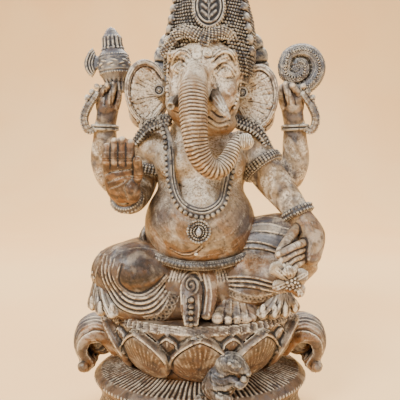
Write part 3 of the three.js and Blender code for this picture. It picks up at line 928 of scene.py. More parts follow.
def lotus_seat():
    clay = Clay("lotus_seat", cell(0.75), 4)
    oval = 68 / 86
    bowl = [(0, 45.9), (59, 45.9), (71, 60), (78, 75), (81, 91), (77, 95), (0, 95)]
    clay.add(clay.lathe(bowl, 0, 0, oval), 0)
    petals = []
    for k in range(20):
        turn = math.radians(-90 + 18 * k)
        whole = k % 2 == 0
        radius, height, size = (75, 69, (24.5, 6.0, 25)) if whole else (74, 74, (13, 4.2, 17))
        out = np.array([math.cos(turn), math.sin(turn) * oval, 0])
        petals.append((Petal(clay.at(0, 0, height) + radius * out, turn, math.radians(27), *size), whole))
    for petal, _ in sorted(petals, key=lambda pair: pair[1]):
        clay.add(petal.shape(), 0.4)
    x, y, z = clay.skin()
    for petal, whole in petals:
        u, v, k, distance = petal.measure(x, y, z)
        mine = (np.abs(distance) < 2.0) & (k < 1.1)
        upper = mixed(v / petal.tall + 0.55)
        rim = np.exp(-((k - 0.94) / 0.032) ** 2) * mine * upper
        line = np.exp(-((k - 0.85) / 0.022) ** 2) * mine * upper
        foot = np.arctan2(u, v + petal.tall * 1.02)
        inside = mixed((0.80 - k) / 0.06) * mine
        fan = np.maximum(0, np.cos(foot * 62 + 1.2 * noise(x, y, z, 16, 3))) ** 4
        broken = mixed(noise(x, y, z, 9, 5) * 1.4 + 0.8)
        clay.lift(0.8 * rim + 0.35 * fan * inside * broken)
        clay.sink(0.7 * line)
        clay.tint("pale", rim * mixed(broken + 0.2) * 0.6)
        clay.tint("dark", mixed((k - 0.98) / 0.05) * mine * 0.6)
        if whole:
            clay.tint("warm", inside * mixed(noise(x, y, z, 14, 7) * 1.6) * 0.35)
            clay.tint("dark", inside * (1 - fan) * 0.4)
            clay.tint("pale", fan * inside * broken * 0.75)
            dots = np.exp(-((u - 1) ** 2 + (v + petal.tall * 0.55) ** 2) / 5) * mine
            clay.tint("pale", dots * 0.9)
            clay.lift(0.5 * dots)
    # a granular collar round the top, and a slightly uneven top
    z = z + clay.home[2]
    out = np.hypot(x + clay.home[0], (y + clay.home[1]) / oval)
    collar = mixed((z - 88.5) / 2) * mixed((out - 74) / 3)
    granules = np.maximum(0, noise(x, y, z, 2.1, 31) * 2.2) * collar
    clay.lift(0.9 * np.minimum(granules, 1))
    clay.tint("pale", mixed(granules * 1.6 - 0.3) * 0.65)
    clay.tint("dark", collar * mixed(0.25 - granules) * mixed(noise(x, y, z, 9, 8) * 2 + 0.4) * 0.5)
    top = mixed(z - 94) * mixed((77 - out) / 4)
    clay.lift(0.5 * top * np.maximum(0, noise(x, y, z, 5, 2)))
    piece(clay, "umber_wash")


def scroll_leaf(node, mirrored):
    clay = Clay(node, mirrored=mirrored)
    route = clay.route((70, 8, 60), (81, 8, 74), (93, 6, 81), (105, 3, 77), (109, 0, 63), (104, -4, 50),
                       (100, -8, 45))
    hub = clay.at(84, 0, 50)
    half = (18, 21, 23, 22, 18, 12, 5)
    for share in np.linspace(-1, 1, 9):
        strip = []
        for p, reach in zip(route, half):
            pull = 0.3 * share**2
            strip.append((p[0] + (hub[0] - p[0]) * pull, p[1] + share * reach,
                          p[2] + (hub[2] - p[2]) * pull))
        clay.add(limb(strip, [4.4, 4.4, 4.2, 4, 3.8, 3.6, 3.4], spacing=2), 2.5)
    clay.add(ball(clay.at(101, -12, 44), (6, 6, 5.5)), 2)
    clay.add(ball(clay.at(101, -20, 46), (4.6, 4, 4.6)), 1.5)
    clay.add(ball(clay.at(89, 6, 61), (13, 15, 13)), 3)
    along, offset = clay.wrap(curve(route, 0.8))
    x, z = (clay.low[k] + clay.step * clay.cells[k] for k in (0, 2))
    across = offset[:, 1]
    wide = np.interp(along, [0, 30, 55, 75, 92], [21, 25, 24, 17, 8])
    share = across / wide
    ribs = np.cos(share * 20 + 0.5 * noise(x, across, z, 18, 4)) ** 2
    hull = mixed((1 - np.abs(share)) / 0.15)
    clay.lift(0.55 * ribs * hull)
    clay.tint("pale", 0.35 * ribs**6 * hull * mixed(noise(x, across, z, 14, 6) + 0.7))
    edge = np.exp(-((np.abs(share) - 0.93) / 0.05) ** 2)
    clay.lift(0.8 * edge)
    clay.tint("pale", 0.65 * edge)
    inward = (hub[0] - x) * offset[:, 0] + (hub[2] - z) * offset[:, 2]
    under = mixed(inward / 40)
    clay.tint("warm", under * 0.9)
    clay.tint("cool", mixed(1.3 - np.abs(share) * 1.3) * 0.75 * (1 - under))
    curl = circle(clay.at(101, -12, 45), clay.at(101, -13, 45), 4.6)
    clay.ridge(curl + (0, -5, 0), 1.1, 0.8, 0.5)
    piece(clay, "umber_wash")


def mouse():
    clay = Clay("mouse", SMALL_STEP)
    clay.add(ball(clay.at(17, -61, 54), (12, 10, 15)))
    clay.add(ball(clay.at(10, -61, 48), 9), 3)
    clay.add(limb(clay.route((20, -62, 69), (27, -66, 69), (36, -69, 63)), [9, 8, 3]), 3)
    for ear in (clay.at(16, -60, 77), clay.at(26, -58, 77)):
        clay.add(ball(ear, (5, 3, 5)), 0.8)
        clay.cut(ball(ear + (0, -3.4, 0.4), (3.6, 2.4, 3.6)), 0.6)
    clay.add(limb(clay.route((24, -66, 57), (30, -70, 54), (34, -70, 58)), [4, 3.5, 3]), 1.2)
    clay.add(limb(clay.route((12, -66, 46), (16, -71, 44), (22, -72, 44)), [4.5, 4, 3]), 1.2)
    clay.add(limb(clay.route((6, -58, 44), (0, -64, 42), (-2, -70, 43), (4, -73, 42)), [2.4, 2, 1.6, 1.2]),
             1)
    clay.studs(clay.route((22, -73, 72), (36, -72, 63)), 1.5)
    clay.add(ball(clay.at(33, -72.5, 60), 2.6), 0.6)
    x, y, z = clay.skin()
    fur = noise(x, y, z * 0.45, 2.4, 4)
    clay.lift(0.35 * fur)
    clay.tint("dark", mixed(noise(x, y, z, 6, 12) * 2 + 0.1) * 0.6)
    clay.tint("pale", mixed(fur * 1.6 - 0.1) * 0.4)
    clay.tint("pale", mixed((z + clay.home[2] - 62) / 6) * mixed(noise(x, y, z, 9, 7) * 1.5 + 0.5) * 0.6)
    clay.tint("warm", mixed((56 - z - clay.home[2]) / 8) * 0.6)
    clay.tint("cool", mixed(noise(x, y, z, 14, 2) * 2) * 0.7)
    clay.studs(clay.route((25, -73, 70), (30.5, -73, 69.5)), 1.2)
    for ear in (clay.at(16, -62.5, 77.5), clay.at(26, -60.5, 77.5)):
        clay.paint("dark", clay.land([ear]), 2.6, 0.8)
    for height in (50, 56, 62):
        clay.groove(clay.front(((8, height), (16, height - 2.5), (26, height))), 0.9, 0.8, 0.6)
    clay.groove(clay.front(((24, 64), (30, 62), (36, 61))), 0.7, 0.7, 0.8)
    piece(clay, "slate_wash")


def hips():
    clay = Clay("hips", BROAD_STEP)
    clay.add(ball(clay.at(0, 6, 122), (62, 44, 33)), 1)
    clay.add(ball(clay.at(0, -18, 118), (46, 26, 26)), 6)
    x, y, z = clay.skin_in_frame()
    angle = np.arctan2(y + 8, x)
    radial = np.cos(angle * 46 + 0.7 * noise(x, y, z, 14)) ** 2
    front = mixed((-y - 20) / 6) * mixed((z - 124) / 3)
    clay.lift(0.9 * radial * front)
    clay.tint("pale", 0.5 * radial**4 * front)
    folds = np.cos((z - 95) * 0.62 + 1.3 * np.sin(angle * 2.0) + 0.6 * noise(x, y, z, 40))
    back = mixed((y + 4) / 10)
    clay.lift(0.9 * back * np.maximum(0, folds) ** 2)
    clay.tint("pale", 0.4 * back * np.maximum(0, folds) ** 8)
    seat = np.exp(-((x + 2.5 * np.sin(z * 0.2)) / 9) ** 2) * mixed((y - 30) / 8)
    clay.lift(seat * (0.8 + 0.9 * np.cos(x * 1.1) ** 2))
    piece(clay, "umber_wash")


def folds(clay, paths, width=1.5, height=1.1, pale=0.6, gap=0.0):
    """Cloth folds: rounded ridges rubbed pale along their tops, with a dark groove below each."""
    for path in paths:
        line = clay.front(path)
        if len(line) < 3:
            continue
        clay.ridge(line, width, height, pale)
        if gap:
            clay.groove(line + (0, 0, -gap), width * 1.2, height * 0.5, 0.35)


def hatch(clay, path, half_width, pitch=2.6):
    """A band of cloth hemmed with crossed threads: two edge cords and a row of lozenges between them."""
    line = clay.front(path, 0.5)
    if len(line) < 4:
        return
    side = sideways(line)
    along = distances(line)
    for edge in (-1, 1):
        cord = clay.land(line + side * edge * half_width)
        clay.ridge(cord, 0.9, 1.3)
        clay.paint("pale", cord, 0.8, 0.9)
    for way in (-1, 1):
        zigzag = 2 * np.abs((along / pitch) % 2 - 1) - 1
        thread = clay.land(line + side * (way * zigzag * half_width * 0.8)[:, None])
        clay.ridge(thread, 0.8, 1.4)
        clay.paint("pale", thread, 0.8, 1.0)
    clay.paint("dark", line, half_width * 1.3, 0.75)


def right_leg():
    clay = Clay("right_leg")
    clay.add(limb(clay.route((-20, 8, 130), (-48, 0, 132), (-72, -12, 129)), [24, 25, 21]), 1)
    clay.add(ball(clay.at(-54, -20, 129), (37, 26, 27)), 5)
    clay.add(ball(clay.at(-50, -24, 108), (37, 23, 15)), 5)
    clay.add(limb(clay.route((-60, -30, 108), (-32, -36, 106), (-6, -36, 103)), [16, 14, 9]), 4)
    # nested swirls, from the calf's dark oval out to the hem
    inner = np.array([(-64, 141), (-54, 147.5), (-40, 147), (-30, 139), (-27, 131), (-36, 122), (-47, 117),
                      (-58, 119), (-66, 128)])
    hub = np.array([-47.0, 132.0])
    rim = np.array([inner[k] for k in (0, 8, 7, 6, 5, 4)])
    clay.ridge(clay.front(rim), 1.0, 1.3, 0.4)
    clay.groove(clay.front(hub + (rim - hub) * 0.92), 2.2, 0.7, 0.4)
    first = np.array([(-68, 144), (-69.5, 134), (-65, 124), (-56, 116.5), (-45, 115.5), (-36, 119.5),
                      (-28, 128), (-21, 135), (-13, 139)])
    last = np.array([(-82, 147), (-82, 132), (-77, 118), (-67, 106), (-53, 99.5), (-39, 101), (-27, 111),
                     (-18.5, 125), (-11, 134)])
    for share in (0.06, 0.3, 0.55, 0.8):
        line = clay.front(first + (last - first) * share)
        clay.ridge(line, 1.0, 1.8, 0.4)
        clay.groove(line + (0, 0, -1.9), 1.5, 0.9, 0.4)
        low = line[line[:, 2] + clay.home[2] < 122]
        clay.paint("pale", low, 1.1, 0.9)
    upper = [(-76, 146), (-66, 153), (-50, 156), (-34, 152), (-24, 144), (-14, 139)]
    for k in range(2):
        folds(clay, [[(x + 1.2 * k, z - 3.4 * k) for x, z in upper]], 1.2, 0.6, 0.15, 1.6)
    hatch(clay, ((-15, 132), (-19, 121), (-23, 110), (-31, 100), (-44, 96)), 3.6, 4.2)
    # the drape at the outer side, with pearl trios
    folds(clay, [((-82, 150), (-90, 136), (-90, 120), (-84, 106), (-72, 97)),
                 ((-78, 146), (-85, 132), (-84, 117), (-76, 104), (-62, 97))], 1.4, 1.1, 0.5, 1.8)
    for x, z in ((-83, 145), (-89, 131), (-87, 127.5), (-90.5, 127)):
        clay.studs(clay.front_spot(x, z, 0.4), 1.5)
    x, y, z = clay.skin_in_frame()
    calf = mixed((1 - np.hypot((x + 47) / 21, (z - 132) / 16)) * 3) * (y < 0)
    clay.tint("cool", mixed((z - 136) / 10) * (y < 0) * mixed(noise(x, y, z, 16, 8) * 1.6 + 0.4) * 0.7)
    clay.tint("dark", (y < 0) * mixed(noise(x, y, z, 8, 41) * 2 + 0.1) * 0.35)
    clay.tint("dark", calf * mixed(0.62 + 0.5 * noise(x, y, z, 6))
              * mixed(0.85 + 0.6 * noise(x, y, z, 2, 6)) * 0.9)
    clay.tint("warm", calf * mixed(noise(x, y, z, 12, 3) * 2) * 0.7)
    clay.tint("cool", mixed(1 - np.hypot((x + 58) / 18, (z - 149) / 9)) * 0.8)
    back = mixed((y - 2) / 6)
    clay.lift(back * 0.9 * np.maximum(0, np.cos(x * 0.55 + z * 0.22 + 0.7 * noise(x, y, z, 30))) ** 2)
    clay.lift(0.12 * noise(x, y, z, 3.2))
    piece(clay, "umber_wash")


def left_leg():
    clay = Clay("left_leg")
    clay.add(limb(clay.route((24, 4, 134), (46, -6, 148), (66, -12, 152)), [24, 26, 25]), 1)
    clay.add(ball(clay.at(69, -12, 149), (32, 25, 29)), 5)
    clay.add(limb(clay.route((78, -14, 140), (60, -26, 128), (36, -32, 116)), [23, 21, 15]), 4)
    clay.add(ball(clay.at(38, -24, 128), (22, 20, 22)), 4)
    arcs = [[(26, 151), (38, 157), (52, 157), (68, 152)],
            [(24, 146), (38, 152.5), (54, 152), (68, 148)],
            [(36, 165), (46, 170.5), (58, 171.5), (72, 168)],
            [(33, 160), (44, 165.5), (58, 166), (72, 163)],
            [(40, 171), (52, 175.5), (64, 176), (76, 172)]]
    folds(clay, arcs, 0.95, 1.3, 0.45, 1.6)
    shin = [[(14, 126), (26, 130.5), (42, 131), (60, 127), (74, 124)],
            [(12, 122.5), (26, 127), (42, 127.5), (60, 123.5), (76, 121)],
            [(10, 119.5), (24, 123.5), (42, 123.8), (58, 120), (78, 117.5)]]
    folds(clay, shin, 1.0, 1.6, 0.6, 1.5)
    hatch(clay, ((8, 116.5), (18, 119), (30, 116.5), (44, 113.5), (58, 115.5)), 2.7, 3.4)
    x, y, z = clay.skin_in_frame()
    knee = mixed((1 - np.hypot((x - 40) / 20, (z - 141) / 8)) * 2) * (y < 0)
    clay.tint("warm", knee * 0.75)
    clay.tint("dark", knee * mixed(noise(x, y, z, 9, 2) * 1.6) * 0.6)
    clay.tint("cool", mixed(1.4 - np.hypot((x - 52) / 30, (z - 164) / 14)) * 0.85)
    clay.tint("pale", (y < 0) * mixed(noise(x, y, z, 10, 6) * 1.8) * 0.3)
    side = mixed((x - 72) / 10) + mixed((y - 4) / 8)
    sweep = np.cos(0.42 * (z + 0.55 * y) + 0.9 * noise(x, y, z, 36))
    clay.lift(np.clip(side, 0, 1) * np.maximum(0, sweep) ** 2)
    clay.tint("pale", np.clip(side, 0, 1) * 0.45 * np.maximum(0, sweep) ** 8)
    clay.lift(0.12 * noise(x, y, z, 3.2))
    piece(clay, "umber_wash")


def left_foot():
    clay = Clay("left_foot", MIDDLE_STEP)
    clay.add(limb(clay.route((36, -22, 108), (31, -36, 106), (27, -47, 101)), [9, 9, 6], side=(1, 0, 0),
                  widen=[1.55, 1.8, 2.7]), 1)
    toes = ((14, -53, 5), (22, -53, 4), (29, -52, 4), (35.5, -50, 3.8), (41.5, -47, 3.5))
    for x, y, r in toes:
        clay.add(limb(clay.route((x + (26 - x) * 0.15, y + 12, 99 + r), (x, y, 95.2 + r)), [r * 0.95, r]),
                 1.6)
        nail = clay.at(x - 0.3, y - r * 0.72, 95.2 + r * 1.5)
        clay.add(ball(nail, (r * 0.62, 0.9, r * 0.52), (35, 0, 0)), 0.3)
        clay.paint("pale", [nail + (0, -0.6, 0)], r * 0.7, 0.95)
        clay.groove([clay.at(x + r * k * 0.5, y + 2.6 - abs(k), 95 + r * 1.9)
                     for k in np.linspace(-1, 1, 5)], 0.6, 0.5, 0.3)
    for (xa, ya, ra), (xb, yb, rb) in zip(toes, toes[1:]):
        gap = (xa + ra + xb - rb) / 2
        clay.groove([clay.at(gap, (ya + yb) / 2 + t, 95 + 3 + abs(t) * 0.3)
                     for t in np.linspace(-3, 6, 10)], 1.0, 0.9, 0.7)
        clay.groove(clay.front(((gap, 104), (gap + (28 - gap) * 0.25, 112))), 1.1, 0.45, 0.25)
    for x in (18, 24.5, 31, 37):
        clay.ridge(clay.front(((x, 103), (x + (28 - x) * 0.2, 112))), 1.3, 0.55, 0.1)
    x, y, z = clay.skin()
    clay.tint("cool", mixed(noise(x, y, z, 12, 4) * 2 + 0.4) * 0.7)
    clay.tint("dark", mixed(noise(x * 1.6, y, z * 0.6, 4, 5) * 2 + 0.1) * 0.65)
    clay.tint("warm", mixed(noise(x, y, z, 9, 8) * 2) * 0.6)
    piece(clay, "antiqued_body")


def sash():
    clay = Clay("sash", SMALL_STEP)
    clay.add(limb(clay.route((-7, -34, 134), (-7, -44, 122), (-7, -53, 108), (-7, -59, 98)), [4, 4, 3.5, 3],
                  side=(1, 0, 0), widen=[2.25, 2.4, 2.3, 1.7]), 0.6)
    clay.add(limb(clay.route((-4, -35, 136), (6, -38, 130), (8, -45, 117), (5, -52, 103)), [5, 5, 4.5, 4],
                  side=(1, 0, 0), widen=[1.4, 1.4, 1.3, 1.25]), 0.8)
    for lift in (0, 2.2):
        arch = ((-14 - lift, 112), (-15 - lift, 124), (-10 - lift * 0.4, 132 + lift), (-3, 134 + lift),
                (1 + lift * 0.2, 128))
        folds(clay, [arch], 1.2, 1.1, 0.6)
    coil = [(-7 + r * math.cos(a), 125 + r * math.sin(a)) for a,
            r in zip(np.linspace(math.radians(-80), math.radians(470), 24), np.linspace(6.2, 0.8, 24))]
    clay.paint("dark", clay.front(coil), 2.4, 0.7)
    clay.ridge(clay.front(coil, 0.4), 1.1, 1.5, 0.7)
    for k in range(5):
        z = 114.5 - 4.1 * k
        bead = clay.front_spot(-7, z)
        clay.paint("dark", bead, 3.6, 0.8)
        clay.studs(bead, 2.5 - 0.2 * k)
        clay.groove(clay.front(((-10, z - 2), (-7, z - 2.6), (-4, z - 2))), 0.9, 0.8, 0.7)
    for x in (-12.8, -1.2):
        clay.ridge(clay.front(((x, 118), (x + 0.1, 108), (x * 0.85 - 0.8, 98))), 0.9, 0.8, 0.5)
    folds(clay, [((3, 133), (5.5, 120), (3.5, 104)), ((7, 131), (9, 118), (7, 104))], 1.1, 0.9, 0.45)
    x, y, z = clay.skin()
    clay.tint("warm", mixed((x - 5) / 3) * 0.45)
    clay.lift(0.12 * noise(x, y, z, 2.4))
    piece(clay, "umber_wash")


def hem_pleats(node, gather, tips, width):
    clay = Clay(node, SMALL_STEP)
    base = clay.at(*gather)
    for x, y, z in tips:
        tip = clay.at(x, y, z)
        middle = (base + tip) / 2 + (0, -3, 0)
        clay.add(limb([base, middle, tip + (0, 0, 5.5), tip + (0, 0, 2.5)], [2.4, 3.6, 4.2, 2.6],
                      side=(1, 0, 0), widen=[width, width * 1.05, width, width * 0.8]), 0.7)
    for x, y, z in tips:
        tip = clay.at(x, y, z)
        spine = clay.land(curve([base, (base + tip) / 2, tip + (0, 0, 3)], 0.7))
        clay.ridge(spine, 1.3, 0.7, 0.5)
        drop = clay.land([tip + (0, 0, 8)])
        if len(drop):
            clay.add(ball(drop[0] + (0, 0.6, 0), (2.3, 1.7, 5.6)), 0.4)
            clay.paint("pale", [drop[0] + (0, -1, k) for k in (-3, -1, 1, 3)], 2.0, 1.0)
        for side in (-1, 1):
            line = clay.land(curve([base + (side * 2, 0, 0), (base + tip) / 2 + (side * 3.2, 0, 0),
                                    tip + (side * 3.0, 0, 5)], 0.7))
            clay.groove(line, 0.8, 0.8, 0.5)
    x, y, z = clay.skin()
    clay.tint("cool", mixed(noise(x, y, z, 16, 6) + 0.1) * 0.6)
    clay.tint("dark", mixed(noise(x, y, z, 7, 2) * 1.6 + 0.1) * 0.5)
    clay.tint("warm", mixed(noise(x, y, z, 11, 9) * 1.6) * 0.5)
    piece(clay, "pale_highlight")


def torso():
    clay = Clay("torso")
    clay.add(ball(clay.at(0, -4, 168), (48, 46, 46)), 1)
    clay.add(ball(clay.at(1, 4, 218), (41, 31, 36)), 9)
    for x in (-18, 19):
        clay.add(ball(clay.at(x, -14, 221), (20, 18, 16)), 6)
    for x in (-40, 40):
        clay.add(ball(clay.at(x, 4, 234), (17, 19, 17)), 6)
    clay.add(ball(clay.at(0, 2, 252), (25, 24, 17)), 6)
    for depth, line in ((1.3, ((-24, 154), (-15, 150.5), (-6, 152), (0, 157), (3, 164))),
                        (1.0, ((-22, 151.5), (-14, 148.2), (-5, 149.6), (2, 155)))):
        clay.groove(clay.front(line), 0.9, depth, 0.85)
    clay.ridge(clay.front(((-23, 152.8), (-14, 149.4), (-5.5, 150.8), (1, 156))), 0.8, 0.5, 0.5)
    # soft folds over the chest and at the arm pits
    for line in (((-34, 214), (-26, 206), (-14, 203)), ((36, 213), (28, 206), (18, 204)),
                 ((-30, 244), (-22, 236), (-17, 226)), ((31, 242), (26, 232), (24, 222))):
        clay.groove(clay.front(line), 3.0, 0.8, 0.15)
    for x, z in ((-29, 214), (32, 214)):
        spot = clay.front_spot(x, z, 0.4)
        if len(spot):
            clay.ridge(clay.land(circle(spot[0], spot[0] + (0, 1, 0), 2.6)), 0.8, 0.6, 0.5)
            clay.studs(spot, 1.0)
    # the strands of a chest cord behind the trunk's tip
    for k in range(4):
        clay.ridge(clay.front(((4 + 2.5 * k, 190 + k), (9 + 2.2 * k, 199), (12 + 2.5 * k, 208))), 0.9, 0.8,
                   0.55)
    x, y, z = clay.skin_in_frame()
    # painted shade: the belly grows darker and warmer towards its underside, with the warm part broken by
    # random blotches
    low = mixed((190 - z) / 26) * (np.abs(z - 168) < 60)
    blotch = mixed(noise(x, y, z, 22, 8) * 1.9 + 0.55)
    clay.tint("warm", low * blotch * 0.65)
    clay.tint("dark", mixed((196 - z) / 16) * (0.15 + 0.4 * mixed(noise(x, y, z, 3.4, 33) * 2)))
    # painted shade: a darker blue-grey on the belly's +X flank, where its curve turns away from the light
    painted_shade_flank = mixed(1.25 - np.hypot((x - 40) / 16, (z - 170) / 24))
    clay.tint("cool", painted_shade_flank * 0.75)
    clay.tint("dark", painted_shade_flank * mixed(noise(x, y, z, 6, 24) * 1.8 + 0.2) * 0.45)
    patch = mixed(noise(x, y, z, 13, 5) * 2.2 - 0.35) * mixed((192 - z) / 14) * mixed((z - 128) / 10)
    clay.tint("dark", patch * (0.35 + 0.5 * mixed(noise(x, y, z, 3.4, 6) * 2)))
    speckle = mixed(noise(x, y, z, 2.2, 12) * 2.6 - 0.35)
    clay.tint("dark", speckle * mixed((208 - z) / 30) * 0.55)
    light = mixed(noise(x, y, z, 9, 14) * 2.2 - 0.2) * mixed(noise(x, y, z, 1.8, 16) * 2 + 0.4)
    clay.tint("pale", light * 0.6)
    bib = mixed(1.3 - np.hypot((x - 2) / 18, (z - 203) / 22)) * (y < 0)
    clay.tint("pale", bib * 0.85)
    # painted shade: the same blue-grey on the belly's -X flank
    clay.tint("cool", mixed(1.15 - np.hypot((x + 36) / 20, (z - 182) / 22)) * 0.85)
    clay.tint("pale", mixed((z - 180) / 22) * mixed(noise(x, y, z, 20, 3) * 1.4 + 0.45) * 0.6)
    spine = np.exp(-(x / 7) ** 2) * mixed((y - 12) / 8) * mixed((z - 150) / 20)
    clay.sink(1.5 * spine)
    blades = np.exp(-(((np.abs(x) - 21) / 11) ** 2 + ((z - 225) / 15) ** 2)) * mixed((y - 12) / 8)
    clay.lift(1.6 * blades)
    clay.lift(0.14 * noise(x, y, z, 4.5, 9))
    piece(clay, "antiqued_body")


def belt():
    clay = Clay("belt", MIDDLE_STEP)
    tilt = math.radians(21)
    turn = np.linspace(0, TURN, 500)
    rim = np.stack([50 * np.cos(turn), 47 * np.sin(turn) * math.cos(tilt),
                    47 * np.sin(turn) * math.sin(tilt)], axis=1)
    rim = rim + clay.at(0, -1, 157)
    clay.add(limb(rim[::8], [3.4]), 0)
    out = np.stack([np.cos(turn), np.sin(turn), np.zeros(500)], axis=1)
    clay.beads(rim + out * 2.6, 1.45, 3.1)
    for lift in (-2.4, 2.4):
        clay.beads(rim + out * 2.0 + (0, 0, lift), 0.85, 1.9)
    for lift in (-3.5, 3.5):
        clay.ridge(rim + out * 0.8 + (0, 0, lift), 0.9, 0.7, 0.2)
    x, y, z = clay.skin()
    clay.tint("dark", mixed(noise(x, y, z, 8, 5) * 1.4 + 0.7) * 0.6)
    piece(clay, "slate_wash")


def necklace():
    clay = Clay("necklace", SMALL_STEP)
    route = clay.route((-32, -14, 256), (-25, -30, 236), (-22, -37, 206), (-14, -44, 189), (2, -47, 183),
                       (16, -45, 190), (21, -39, 206), (27, -28, 234))
    path = curve(route, 0.6)
    clay.add(limb(route, [3.1], spacing=1.5, side=(0, 0.35, 1), widen=1.35), 0)
    hub = clay.at(-1, -45, 226)
    away = path - hub
    away[:, 1] = 0
    away /= np.linalg.norm(away, axis=1)[:, None]
    inner = path - away * 2.4 + (0, -2.0, 0)
    outer = path + away * 3.1 + (0, -1.2, 0)
    for line in (path - away * 0.4 + (0, -3.1, 0), inner):
        clay.ridge(line, 0.8, 0.9, 0.7)
    clay.groove(path - away * 1.5 + (0, -2.8, 0), 0.7, 0.8, 0.5)
    clay.paint("dark", outer, 3.0, 0.8)
    clay.beads(outer + (0, -0.6, 0), 2.3, 4.3)
    clay.beads(outer + (0, -2.4, 0) - away * 0.2, 0.8, 4.3)
    x, y, z = clay.skin()
    clay.tint("cool", mixed(noise(x, y, z, 20, 2) + 0.3) * 0.5)
    piece(clay, "slate_wash")


def belly_jewel():
    clay = Clay("belly_jewel", cell(0.4), 3)
    hub = clay.at(-1, -50.5, 169)
    clay.add(disc(hub, 8.6, 8.6, 3.6), 0)
    front = (0, -2.0, 0)
    ahead = (0, 1, 0)
    clay.beads(circle(hub, hub + ahead, 8.7) + front, 1.05, 2.25)
    clay.beads(circle(hub, hub + ahead, 6.1) + (0, -2.3, 0), 0.85, 1.9)
    clay.beads(circle(hub, hub + ahead, 3.9) + (0, -2.5, 0), 0.6, 1.4)
    clay.ridge(circle(hub, hub + ahead, 7.4) + (0, -1.8, 0), 0.5, 0.6, 0.6)
    for k in range(12):
        turn = math.radians(30 * k)
        clay.ridge([hub + (r * math.cos(turn), -2, r * math.sin(turn)) for r in (4.8, 5.2)], 0.5, 0.4, 0.4)
    piece(clay, "slate_wash")


def belly_stone():
    clay = Clay("belly_stone", cell(0.25), 2)
    clay.add(ball(clay.at(-1, -54.2, 168.4), (2.1, 2.0, 2.7)), 0)
    clay.add(limb(clay.route((-1, -54.2, 168.6), (-1, -54.0, 172.4)), [1.9, 0.4]), 0.6)
    piece(clay, "clear_stone")


def navel_pearl():
    clay = Clay("navel_pearl", cell(0.25), 2)
    low, high = box("navel_pearl")
    clay.add(ball((0, 0, 0), (high - low) / 2 * (0.98, 1.0, 0.9)), 0)
    piece(clay, "pearl")


def shoulder_ornament(node, route):
    clay = Clay(node, MIDDLE_STEP)
    points = clay.route(*route)
    clay.add(limb(points, [4.6, 4.6, 3.8], side=(0, 1, 0.6), widen=[1.9, 1.9, 1.7]), 0)
    path = curve(points, 0.8)
    along, offset = clay.wrap(path)
    around = np.arctan2(offset[:, 2], -offset[:, 1])
    knots = np.maximum(0, np.cos(along * TURN / 3.1 + np.round(around * 2.2)
                                 * math.pi)) * np.cos(around * 6.6) ** 2
    clay.lift(1.3 * knots)
    clay.tint("pale", 0.6 * knots**3)
    clay.tint("dark", mixed(noise(along, offset[:, 0], offset[:, 2], 7, 6) * 2 + 0.3) * 0.5)
    for way in ((0, -0.55, 0.8), (0, -1, -0.35)):
        rim = clay.land(path + np.array(way) * 1.0, direction=(-np.array(way)))
        if len(rim) > 3:
            clay.beads(rim, 1.1, 2.4)
    piece(clay, "slate_wash")


